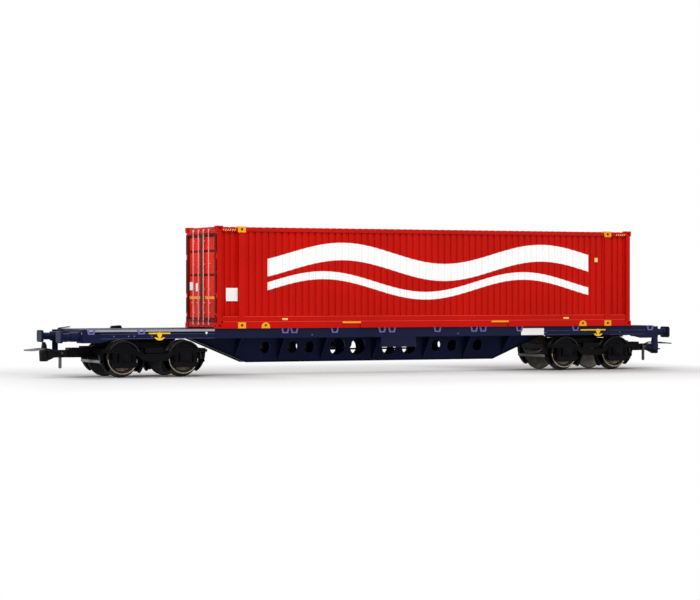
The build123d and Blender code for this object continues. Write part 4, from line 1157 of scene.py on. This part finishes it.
@dataclass
class Bogie:
    """Sprung side frames: coils, axlebox covers, painted shade over the wheel tops, brake gear. Sizes are in
    millimetres.
    """

    end: str
    sign: int
    pivot_x: float = 81.6
    half_wheelbase: float = 10.345
    axle_z: float = 6.1
    side_mid_y: float = 11.375
    cover_y: float = 12.7
    # Points (radius, distance outwards from cover_y) of the cover, then of a bolt.
    cover: Pairs = ((1.35, -0.3), (1.35, 0.0), (1.2, 0.15), (0.75, 0.2), (0.65, 0.4), (0.1, 0.45))
    bolt: Pairs = ((0.2, -0.3), (0.2, 0.05))
    bolt_ring: float = 1.65
    spring_off: float = 3.1
    spring_z: tuple[float, float] = (4.75, 7.9)
    coil_r: float = 1.0
    coil_steps: int = 130
    wire_r: float = 0.2
    turns: float = 5.0
    beam_off: float = 17.32
    beam_z: float = 5.2
    beam_r: float = 0.53
    beam_half_y: float = 9.2
    arch_turn: tuple[float, float] = (-2.0, 182.0)
    # The radii, then the distances from the middle, of the arch and of its lip: both are painted shade over
    # the wheel's upper half.
    arch: Pairs = ((3.1, 5.75), (10.14, 10.5))
    lip: Pairs = ((5.35, 5.75), (10.1, 11.3))
    shoe_y: tuple[float, float] = (8.1, 9.7)
    # Angles in degrees, inner radii and outer radii, each at a pad's start and end.
    outer_shoe: Pairs = ((222.0, 158.0), (5.62, 5.62), (6.35, 8.1))
    inner_shoe: Pairs = ((-42.0, 10.0), (5.62, 5.62), (6.3, 7.4))
    wing: Pairs = ((-2.95, 3.2), (2.95, 3.2), (4.3, 4.2), (4.3, 4.9), (-4.3, 4.9), (-4.3, 4.2))
    wing_y: tuple[float, float] = (10.7, 12.5)
    pipe_knots: tuple[Point, ...] = (
        (64.5, -7.2, 8.0),
        (64.1, -5.6, 7.0),
        (63.9, -0.4, 6.5),
        (64.1, 4.8, 7.0),
        (64.5, 6.4, 8.0),
    )
    pipe_r: float = 0.2
    # Each pipe's sag and its shift along the wagon.
    pipe_sags: Pairs = ((1.0, 0.0), (1.3, -0.3))

    def coil(self, x: float, y: float) -> Shell:
        """A helix: height grows evenly with the angle, at one radius.

        Args:
            x: Its axis along the wagon.
            y: Its axis across the wagon.

        Returns:
            Its surface.
        """
        angle = np.linspace(0.0, FULL_TURN * self.turns, self.coil_steps)
        height = np.linspace(*self.spring_z, self.coil_steps)
        path = np.stack([x + self.coil_r * np.cos(angle), y + self.coil_r * np.sin(angle), height], -1)
        return Shell(tube(path, self.wire_r, sides=8))

    def axlebox_cover(self, box_x: float, side: int) -> list[Shell]:
        """A turned cover on an axle box, with four bolts round it.

        Args:
            box_x: Where the axle box stands along the wagon.
            side: -1 on the near side, 1 on the far side.

        Returns:
            Their surfaces.
        """
        profile = [(radius, side * (self.cover_y + out)) for radius, out in self.cover]
        shells = [Shell(lathe(profile, (box_x, 0.0, self.axle_z), "y", sides=32))]
        bolt = [(radius, side * (self.cover_y + out)) for radius, out in self.bolt]
        for angle in np.arange(4) * FULL_TURN / 4 + FULL_TURN / 8:
            across, up = self.bolt_ring * math.cos(angle), self.bolt_ring * math.sin(angle)
            shells.append(Shell(lathe(bolt, (box_x + across, 0.0, self.axle_z + up), "y", sides=6)))
        return shells

    def shade_arches_and_wing(self, box_x: float, side: int) -> list[Shell]:
        """A black arch over a wheel's upper half with a dark grey lip, both painted shade of the wheel top,
        and a wing under the axle box.

        Args:
            box_x: Where the axle box stands along the wagon.
            side: -1 on the near side, 1 on the far side.

        Returns:
            Their surfaces.
        """
        shells = []
        for mark, (radii, depth) in enumerate((self.arch, self.lip)):
            inner, outer = ((radius, radius) for radius in radii)
            depths = (side * depth[0], side * depth[1])
            band = arc_band((box_x, self.axle_z), self.arch_turn, inner, outer, depths, steps=40)
            shells.append(Shell(band, finish=mark))
        corners = [(box_x + x, z) for x, z in self.wing]
        shells.append(Shell(bar(corners, side * self.wing_y[0], side * self.wing_y[1], "y")))
        return shells

    def pads(self, box_x: float, axle: int, side: int) -> list[Shell]:
        """The two brake pads of a wheel. The larger one faces away from the bogie's middle.

        Args:
            box_x: Where the axle box stands along the wagon.
            axle: -1 for the bogie's left axle, 1 for its right one.
            side: -1 on the near side, 1 on the far side.

        Returns:
            Their surfaces.
        """
        depths = (side * self.shoe_y[0], side * self.shoe_y[1])
        shells = []
        for facing, (turn, inner, outer) in ((axle, self.outer_shoe), (-axle, self.inner_shoe)):
            drawn_left = turn[0] > 90.0
            angles = turn if (facing < 0) == drawn_left else (180.0 - turn[0], 180.0 - turn[1])
            shells.append(Shell(arc_band((box_x, self.axle_z), angles, inner, outer, depths)))
        return shells

    def pipes(self) -> list[Shell]:
        """Two rigid pipes that bow down from the end beam.

        Each is one smooth path, with every knot's drop below the first multiplied by the pipe's sag.

        Returns:
            Their surfaces.
        """
        top = self.pipe_knots[0][2]
        shells = []
        for sag, shift in self.pipe_sags:
            knots = [(x + shift, y, top - (top - z) * sag) for x, y, z in self.pipe_knots]
            shells.append(Shell(tube(smooth_path(knots, 40), self.pipe_r, (1.0, 0.0, 0.0))))
        return shells

    def build(self, palette: Palette) -> None:
        """Dresses the CAD nodes and adds arches of painted shade with wings, pads, coils, covers, beams and
        pipes.

        Args:
            palette: The finishes, each made once.
        """
        nodes = (f"bogie_sides_{self.end}", f"bogie_frame_{self.end}", f"bogie_brakes_{self.end}")
        palette.dress(Paint.BOGIE_AND_SHADE, *nodes)
        shade_arches_and_wings, pads, coils, covers, beams = [], [], [], [], []
        middle_x = self.sign * self.pivot_x
        for _, side in SIDES:
            for axle in (-1, 1):
                box_x = middle_x + axle * self.half_wheelbase
                shade_arches_and_wings += self.shade_arches_and_wing(box_x, side)
                pads += self.pads(box_x, axle, side)
                covers += self.axlebox_cover(box_x, side)
                for off in (-self.spring_off, self.spring_off):
                    coils.append(self.coil(box_x + off, side * self.side_mid_y))
        profile = [(self.beam_r, -self.beam_half_y), (self.beam_r, self.beam_half_y)]
        for turn in (-1, 1):
            place = (middle_x + turn * self.beam_off, 0.0, self.beam_z)
            beams.append(Shell(lathe(profile, place, "y", sides=24)))
        body = f"bogie_{self.end}"
        black = palette.pick(Paint.BOGIE_AND_SHADE)
        shade_arch_paints = palette.pick(Paint.BOGIE_AND_SHADE, Paint.WHEEL_TOP_SHADE)
        build_piece(f"wheel_top_shades_and_wings_{self.end}", shade_arches_and_wings, body, shade_arch_paints)
        build_piece(f"brake_pads_{self.end}", pads, body, black)
        build_piece(f"spring_coils_{self.end}", coils, body, black)
        build_piece(f"axlebox_covers_{self.end}", covers, body, black)
        build_piece(f"brake_beams_{self.end}", beams, body, palette.pick(Paint.BEAM))
        if self.sign > 0:
            build_piece("brake_pipes", self.pipes(), body, palette.pick(Paint.PIPE))


@dataclass
class Coupler:
    """Hook head, and a bent wire loop with its hanging tail. All sizes are in millimetres."""

    end: str
    sign: int
    neck_x: tuple[float, float] = (107.2, 114.2)
    neck_z: tuple[float, float] = (6.5, 8.9)
    neck_half_y: float = 1.4
    nose_x: float = 115.0
    # Points (radius, height).
    nose: Pairs = ((0.1, 5.3), (1.15, 5.3), (1.35, 5.45), (1.5, 8.5), (1.3, 8.9), (0.1, 9.0))
    brace: Pairs = ((110.8, 6.9), (113.6, 5.6), (114.0, 6.2), (114.2, 6.9))
    brace_half_y: float = 0.7
    hook: Pairs = ((114.0, 8.8), (114.2, 10.6), (114.7, 11.5), (115.4, 11.5), (115.8, 8.8))
    hook_half_y: float = 0.6
    loop: tuple[Point, ...] = (
        (109.6, 2.0, 7.9),
        (112.2, 2.1, 8.7),
        (114.1, 2.45, 9.25),
        (116.2, 3.35, 9.26),
        (119.12, 3.4, 8.95),
        (120.37, 2.9, 8.9),
        (120.72, 1.7, 8.9),
    )
    wire_r: float = 0.24
    # Points (radius, distance from the middle).
    pin: Pairs = ((0.38, -2.3), (0.38, 2.3))
    tail_mid: Point = (108.95, -2.0, 5.65)
    tail_size: Point = (0.95, 0.72, 5.5)

    def head(self) -> list[Shell]:
        """Neck, tapered nose, brace below and hook above.

        Returns:
            Their surfaces.
        """
        low, high = self.neck_z
        start, end = self.neck_x
        middle = (self.sign * (start + end) / 2, 0.0, (low + high) / 2)
        neck = slab(middle, (end - start, 2 * self.neck_half_y, high - low), "y", 0.3, 0.2)
        brace = [(self.sign * x, z) for x, z in self.brace]
        hook = [(self.sign * x, z) for x, z in self.hook]
        return [
            Shell(neck),
            Shell(lathe(list(self.nose), (self.sign * self.nose_x, 0.0, 0.0), "z", sides=40)),
            Shell(bar(brace, -self.brace_half_y, self.brace_half_y, "y")),
            Shell(bar(hook, -self.hook_half_y, self.hook_half_y, "y")),
        ]

    def bent_loop(self) -> list[Shell]:
        """The wire along half a loop and its mirror image, the pin, and the tail below the pin.

        Returns:
            Their surfaces.
        """
        knots = list(self.loop) + [(x, -y, z) for x, y, z in reversed(self.loop)]
        path = smooth_path([(self.sign * x, self.sign * y, z) for x, y, z in knots], 120)
        hinge_x, _, hinge_z = self.loop[0]
        x, y, z = self.tail_mid
        tail = slab((self.sign * x, self.sign * y, z), self.tail_size, "y", 0.42, 0.12)
        return [
            Shell(tube(path, self.wire_r)),
            Shell(lathe(list(self.pin), (self.sign * hinge_x, 0.0, hinge_z), "y", sides=24), finish=2),
            # The right end's tail is dark as painted shade; the left one is bare metal.
            Shell(tail, finish=1 if self.sign < 0 else 2),
        ]

    def build(self, palette: Palette) -> None:
        """Builds the head and the loop in place of the CAD ones.

        Args:
            palette: The finishes, each made once.
        """
        body, node = f"bogie_{self.end}", f"coupler_head_{self.end}"
        build_piece(
            f"hook_head_{self.end}", self.head(), body, palette.pick(Paint.COUPLER), (node,)
        )
        metals = palette.pick(Paint.LOOP, Paint.TAIL, Paint.PIN_AND_TAIL_SHADE)
        body, node = f"loop_{self.end}", f"coupler_loop_{self.end}"
        build_piece(f"bent_loop_{self.end}", self.bent_loop(), body, metals, (node,))


@dataclass
class Container:
    """Corrugated box with end doors, castings and blank plates. All sizes are in millimetres."""

    face_y: float = 13.85
    ends: tuple[float, float] = (-59.0, 93.8)
    leaf_x: float = -60.58
    leaf_y: float = 12.1
    leaf_z: tuple[float, float] = (18.3, 46.1)
    # The door end's painted shade: a strip in the gap between the leaves, strips in the leaves' grooves and
    # strips on the posts between the hinges.
    seam_shade_size: tuple[float, float] = (0.6, 2.3)
    band_z: tuple[float, ...] = (33.03, 40.82)
    band_y: float = 6.1
    band_size: tuple[float, float] = (10.9, 0.72)
    post_x: float = -61.33
    hinge_breaks: Pairs = ((17.3, 19.3), (20.5, 25.6), (27.0, 38.2), (39.9, 46.4))
    rod_x: float = -61.3
    rod_r: float = 0.2
    rod_y: tuple[float, ...] = (-6.9, -2.2, 2.2, 6.9)
    rod_z: tuple[float, float] = (16.6, 48.0)
    rod_foot: Point = (0.45, 0.75, 0.7)
    guide_z: tuple[float, ...] = (20.6, 28.3, 36.6, 44.2)
    guide: Point = (0.7, 0.6, 0.3)
    handle_z: float = 23.9
    handle: Point = (0.22, 1.5, 0.3)
    # Each plate's distance from the middle, height, width and size upwards.
    door_plates: Rows = ((10.4, 29.4, 2.7, 2.7), (5.1, 29.0, 2.3, 2.6))
    lift_x: tuple[float, float] = (-52.48, 86.58)
    lift_z: tuple[float, float] = (16.575, 47.775)
    lift_hole_r: float = 0.32
    lug_x: tuple[float, float] = (-44.1, 76.4)
    lug_hole_r: float = 0.3
    bead_z: tuple[float, float] = (17.75, 19.42)
    bead_high: float = 0.2
    pocket_x: tuple[float, float] = (-12.95, 43.45)
    # A strip's height, width and size upwards.
    pocket: Point = (17.35, 6.7, 0.6)
    # Its place along the wagon, height, width and size upwards.
    placard: tuple[float, ...] = (-55.65, 26.6, 4.1, 4.3)
    placard_in: float = 0.84
    hatch_x: tuple[float, float] = (-59.2, 90.0)
    hatch_step: float = 0.8
    hatch_count: int = 6
    # Points (distance from the stroke's start, height).
    stroke: Pairs = ((0.0, 47.25), (0.22, 47.25), (0.65, 47.9), (0.43, 47.9))
    # Each tag's place along the wagon, height, width and size upwards.
    tags: Rows = ((-37.1, 18.55, 1.9, 0.6), (69.8, 18.4, 2.2, 0.6), (82.0, 38.7, 1.3, 1.5))
    thin: float = 0.12
    post_thin: float = 0.1

    def dress(self, palette: Palette) -> None:
        """Gives the CAD nodes their finishes.

        Args:
            palette: The finishes, each made once.
        """
        palette.dress(Paint.SIDE, "container_side_near", "container_side_far")
        palette.dress(Paint.SHEET, "container_roof", "container_floor", "container_front_end")
        palette.dress(Paint.SHEET, "container_door_frame", "corner_castings")
        palette.dress(Paint.DOOR, "container_door_near", "container_door_far")
        palette.dress(Paint.CASTING, "lift_castings", "lift_lugs")

    def panel(self, x: float, z: float, wide: float, high: float, y: float) -> Shell:
        """A thin plate on the side, at a distance from the middle plane."""
        return Shell(slab((x, y, z), (wide, self.thin, high), "y", 0.05, 0.03))

    def leaf_strip(self, place: Point, wide: float, high: float, thick: float) -> Shell:
        """A thin plate on the door end."""
        return Shell(slab(place, (thick, wide, high), "x", 0.05, 0.03))

    def disc(self, x: float, z: float, radius: float, y: float, sign: int) -> Shell:
        """A flat dark disc in a casting's hole, painted shade of the recess: a short turned cylinder."""
        profile = [(radius, y - sign * 0.05), (radius, y + sign * 0.05)]
        return Shell(lathe(profile, (x, 0.0, z), "y", sides=20))

    def hatch(self, start: float, sign: int) -> list[Shell]:
        """Slanting strokes in a row, each shifted by its height at the top.

        Args:
            start: Where the first stroke starts along the wagon.
            sign: -1 on the near side, 1 on the far side.

        Returns:
            Their surfaces.
        """
        low = sign * (self.face_y - 0.02)
        strokes = []
        for number in range(self.hatch_count):
            corners = [(start + number * self.hatch_step + x, z) for x, z in self.stroke]
            strokes.append(Shell(bar(corners, low, low + sign * 0.08, "y")))
        return strokes

    def door_painted_shade(self) -> list[Shell]:
        """Painted shade round the leaves, in the gap between them, on the recess walls, between the hinges
        and on the floors of their grooves, as thin dark strips.

        Returns:
            Their surfaces.
        """
        x, post_x = self.leaf_x - 0.03, self.post_x - 0.02
        low, high = self.leaf_z
        middle_z = (low + high) / 2
        wide = 2 * self.leaf_y - 0.1
        seam_shade = (*self.seam_shade_size, high - low - 1.2)
        strips = [
            Shell(slab((x - 0.26, 0.0, middle_z), seam_shade, "x", 0.2, 0.1)),
            self.leaf_strip((x, 0.0, high - 0.35), wide, 0.7, self.thin),
            self.leaf_strip((x, 0.0, low + 0.35), wide, 0.7, self.thin),
            self.leaf_strip((post_x, 0.0, high + 0.3), wide, 0.45, self.post_thin),
            self.leaf_strip((post_x, 0.0, low - 0.35), wide, 0.5, self.post_thin),
        ]
        for _, sign in SIDES:
            wall = ((self.leaf_x + post_x) / 2, sign * (self.leaf_y - 0.03), middle_z)
            size = (self.leaf_x - post_x - 0.04, 0.1, high - low - 0.1)
            strips.append(Shell(slab(wall, size, "y", 0.05, 0.03)))
            for start, end in self.hinge_breaks:
                place = (post_x, sign * (self.leaf_y + 0.75), (start + end) / 2)
                strips.append(self.leaf_strip(place, 1.2, end - start, self.post_thin))
        for z in self.band_z:
            for _, sign in SIDES:
                strips.append(self.leaf_strip((x + 0.3, sign * self.band_y, z), *self.band_size, self.thin))
        return strips

    def door_rods(self) -> list[Shell]:
        """Four upright lock rods, each with end blocks, guides and a short handle.

        Returns:
            Their surfaces.
        """
        low, high = self.rod_z
        shells = []
        for y in self.rod_y:
            rod = lathe([(self.rod_r, low), (self.rod_r, high)], (self.rod_x, y, 0.0), "z", sides=16)
            shells.append(Shell(rod))
            for z in (low + 0.35, high - 0.35):
                shells.append(Shell(slab((self.rod_x + 0.12, y, z), self.rod_foot, "x", 0.15, 0.08)))
            for z in self.guide_z:
                shells.append(Shell(slab((self.rod_x + 0.2, y, z), self.guide, "x", 0.1, 0.06)))
            handle_y = y + math.copysign(self.handle[1] / 2, y)
            shells.append(Shell(slab((self.rod_x, handle_y, self.handle_z), self.handle, "x", 0.1, 0.06)))
        return shells

    def side_pieces(self, side: str, sign: int, palette: Palette) -> None:
        """Adds bead highlights, a blank plate, hatching, tags, strips and discs of painted hole shade to one
        side.

        Args:
            side: The side's name, near or far.
            sign: -1 on the near side, 1 on the far side.
            palette: The finishes, each made once.
        """
        face = sign * (self.face_y + 0.02)
        middle, long = sum(self.ends) / 2, self.ends[1] - self.ends[0]
        low, high = self.bead_z
        # Lighter red lines on the bottom rail's edges: painted highlight.
        bead_highlights = [
            self.panel(middle, low, long, self.bead_high, face),
            self.panel(middle, high, long, self.bead_high, face - sign * 0.25),
        ]
        placard = [self.panel(*self.placard, sign * (self.face_y - self.placard_in))]
        marks = [mark for start in self.hatch_x for mark in self.hatch(start, sign)]
        tags = [self.panel(*tag, face - sign * 0.2) for tag in self.tags]
        strips = [self.panel(x, *self.pocket, face) for x in self.pocket_x]
        # Dark discs in the lift and lug holes: painted shade.
        discs = [self.disc(x, z, self.lift_hole_r, face, sign) for x in self.lift_x for z in self.lift_z]
        discs += [self.disc(x, self.lift_z[0], self.lug_hole_r, face, sign) for x in self.lug_x]
        for name, shells, slot, paint in (
            ("side_bead_highlights", bead_highlights, "container_red", Paint.BEAD_HIGHLIGHT),
            ("blank_placard", placard, "container_red", Paint.PLATE),
            ("edge_hatch", marks, "container_red", Paint.TAG),
            ("side_tags", tags, "container_red", Paint.TAG),
            ("pocket_strips", strips, "casting_yellow", Paint.CASTING),
            ("hole_shade_discs", discs, "casting_yellow", Paint.HOLE_SHADE),
        ):
            build_piece(f"{name}_{side}", shells, "wagon", palette.pick(paint))

    def build(self, palette: Palette) -> None:
        """Adds both sides' pieces, the doors' painted shade, blank plates and lock rods.

        Args:
            palette: The finishes, each made once.
        """
        for side, sign in SIDES:
            self.side_pieces(side, sign, palette)
        build_piece("door_painted_shade", self.door_painted_shade(), "wagon", palette.pick(Paint.DOOR_SHADE))
        plates = []
        for y, z, wide, high in self.door_plates:
            plates.append(self.leaf_strip((self.leaf_x - 0.05, y, z), wide, high, self.thin))
        build_piece("door_plates", plates, "wagon", palette.pick(Paint.PLATE))
        rods = self.door_rods()
        build_piece("lock_rods", rods, "wagon", palette.pick(Paint.ROD), ("door_lock_rods",))


# Studio


@dataclass
class Studio:
    """Camera, lamps, pale floor and white surroundings.

    Attributes:
        target: What the camera looks at, in millimetres.
        azimuth: The camera's turn about z from -y, in degrees.
        elevation: Its rise above the floor, in degrees.
        distance: Its distance from the target, in millimetres.
        lens: Its focal length, in millimetres.
        sensor: Its sensor's width, in millimetres.
        lamps: Each lamp's name, place in metres, side in metres and power in watts.
        lamp_target: What the lamps look at, in metres.
        floor_half: Half the floor's side, in metres.
        floor_tone: How pale the matt floor is.
        bogie_x: How far the bogies' middles stand from the wagon's, in metres.
        fade_middle: Away from a bogie along x: where the fade starts and ends, in metres, and its shares.
        fade_side: Across the wagon: where the fade starts and ends, in metres.
        fade_end: Along the wagon: where the fade past its ends starts and ends, in metres.
        fill: Strength of the even light.
    """

    target: Point = (-7.065, 0.0, 24.734)
    azimuth: float = -25.265
    elevation: float = 0.166
    distance: float = 751.243
    lens: float = 113.817
    sensor: float = 36.0
    lamps: tuple[tuple[str, Point, float, float], ...] = (
        ("key_lamp", (-0.35, -0.75, 0.75), 0.6, 7.6),
        ("end_lamp", (-0.95, 0.05, 0.35), 0.5, 5.0),
        ("front_lamp", (0.55, -0.95, 0.25), 0.6, 3.6),
        ("back_lamp", (0.05, 0.45, 1.0), 0.5, 4.5),
    )
    lamp_target: Point = (0.0, 0.0, 0.02)
    floor_half: float = 6.0
    floor_tone: float = 0.62
    bogie_x: float = 0.0816
    fade_middle: tuple[float, float, float, float] = (0.020, 0.045, 0.02, 0.45)
    fade_side: tuple[float, float] = (0.028, 0.112)
    fade_end: tuple[float, float] = (0.105, 0.150)
    fill: float = 0.32

    def aim(self, thing: bpy.types.Object, place: np.ndarray, target: np.ndarray) -> None:
        """Stands a camera or lamp at a place and turns it to a target.

        Args:
            thing: The camera or lamp.
            place: Where it stands, in metres.
            target: What it looks at.
        """
        thing.location = Vector(place)
        thing.rotation_euler = Vector(target - place).to_track_quat("-Z", "Y").to_euler()

    def camera(self) -> None:
        """Stands the camera where the photograph was taken from."""
        azimuth, elevation = math.radians(self.azimuth), math.radians(self.elevation)
        back = np.array(
            [
                math.sin(azimuth) * math.cos(elevation),
                -math.cos(azimuth) * math.cos(elevation),
                math.sin(elevation),
            ]
        )
        target = np.array(self.target) * MM
        data = bpy.data.cameras.new("studio_camera")
        data.lens, data.sensor_width = self.lens, self.sensor
        data.clip_start, data.clip_end = 0.01, 50.0
        thing = bpy.data.objects.new("studio_camera", data)
        bpy.context.scene.collection.objects.link(thing)
        self.aim(thing, target + back * self.distance * MM, target)
        bpy.context.scene.camera = thing

    def lamp(self, name: str, place: Point, size: float, power: float) -> None:
        """Adds a square soft lamp that looks at the wagon.

        Args:
            name: Its name.
            place: Where it stands, in metres.
            size: Its side, in metres.
            power: Its power in watts.
        """
        data = bpy.data.lights.new(name, "AREA")
        data.size, data.energy = size, power
        thing = bpy.data.objects.new(name, data)
        bpy.context.scene.collection.objects.link(thing)
        self.aim(thing, np.array(place), np.array(self.lamp_target))

    def floor(self) -> None:
        """Lays a pale floor that fades to the white surroundings away from the wagon."""
        half = self.floor_half
        mesh = bpy.data.meshes.new("studio_floor")
        corners = [(-half, -half, 0.0), (half, -half, 0.0), (half, half, 0.0), (-half, half, 0.0)]
        mesh.from_pydata(corners, [], [(0, 1, 2, 3)])
        floor = bpy.data.objects.new("studio_floor", mesh)
        bpy.context.scene.collection.objects.link(floor)
        recipe = Recipe("floor_white")
        matt = recipe.tree.nodes.new("ShaderNodeBsdfDiffuse")
        matt.inputs["Color"].default_value = (self.floor_tone, self.floor_tone, self.floor_tone, 1.0)
        glow = recipe.tree.nodes.new("ShaderNodeEmission")
        glow.inputs["Color"].default_value = WHITE
        x, y, _ = recipe.axes()
        along, across = recipe.math("ABSOLUTE", x), recipe.math("ABSOLUTE", y)
        from_bogie = recipe.math("ABSOLUTE", recipe.math("SUBTRACT", along, self.bogie_x))
        middle = recipe.span(from_bogie, *self.fade_middle)
        sideways = recipe.span(across, *self.fade_side, 0.0, 1.0)
        past_end = recipe.span(along, *self.fade_end, 0.0, 1.0)
        fade = recipe.math("MAXIMUM", recipe.math("MAXIMUM", middle, sideways), past_end)
        path = recipe.tree.nodes.new("ShaderNodeLightPath")
        seen = recipe.math("MAXIMUM", path.outputs["Is Camera Ray"], path.outputs["Is Glossy Ray"])
        seen = recipe.math("MAXIMUM", seen, path.outputs["Is Transmission Ray"])
        blend = recipe.tree.nodes.new("ShaderNodeMixShader")
        recipe.join(recipe.math("MULTIPLY", fade, seen), blend.inputs[0])
        recipe.join(matt.outputs[0], blend.inputs[1])
        recipe.join(glow.outputs[0], blend.inputs[2])
        recipe.join(blend.outputs[0], recipe.output.inputs["Surface"])
        mesh.materials.append(recipe.material)

    def world(self) -> None:
        """Surrounds the wagon with even light, seen as plain white."""
        world = bpy.data.worlds.new("studio_world")
        bpy.context.scene.world = world
        world.use_nodes = True
        tree = world.node_tree
        tree.nodes.clear()
        output = tree.nodes.new("ShaderNodeOutputWorld")
        fill = tree.nodes.new("ShaderNodeBackground")
        fill.inputs["Color"].default_value = WHITE
        fill.inputs["Strength"].default_value = self.fill
        white = tree.nodes.new("ShaderNodeBackground")
        white.inputs["Color"].default_value = WHITE
        path = tree.nodes.new("ShaderNodeLightPath")
        blend = tree.nodes.new("ShaderNodeMixShader")
        seen = path.outputs["Is Camera Ray"]
        for kind in ("Is Glossy Ray", "Is Transmission Ray"):
            either = tree.nodes.new("ShaderNodeMath")
            either.operation = "MAXIMUM"
            tree.links.new(seen, either.inputs[0])
            tree.links.new(path.outputs[kind], either.inputs[1])
            seen = either.outputs[0]
        tree.links.new(seen, blend.inputs[0])
        tree.links.new(fill.outputs[0], blend.inputs[1])
        tree.links.new(white.outputs[0], blend.inputs[2])
        tree.links.new(blend.outputs[0], output.inputs["Surface"])

    def build(self) -> None:
        """Sets up everything around the wagon."""
        self.camera()
        for lamp in self.lamps:
            self.lamp(*lamp)
        self.floor()
        self.world()
        bpy.context.scene.view_settings.view_transform = "Standard"


def main() -> None:
    """Builds the sub-assemblies in order, then the studio."""
    logging.basicConfig(level=logging.INFO, format="%(message)s")
    palette = Palette()
    underframe = Underframe()
    underframe.dress(palette)
    underframe.build(palette)
    Buffers().build(palette)
    for end, sign in ENDS:
        bogie = Bogie(end, sign)
        bogie.build(palette)
        Coupler(end, sign).build(palette)
        for number, axle in (("1", -1), ("2", 1)) if sign < 0 else (("3", -1), ("4", 1)):
            # The left bogie's wheel backs take the darker copy, as painted shade.
            back = Paint.BACK_SHADED if sign < 0 else Paint.BACK_LIT
            Wheelset(number, sign * bogie.pivot_x + axle * bogie.half_wheelbase, back).build(palette)
    container = Container()
    container.dress(palette)
    container.build(palette)
    Studio().build()


if __name__ == "__main__":
    main()
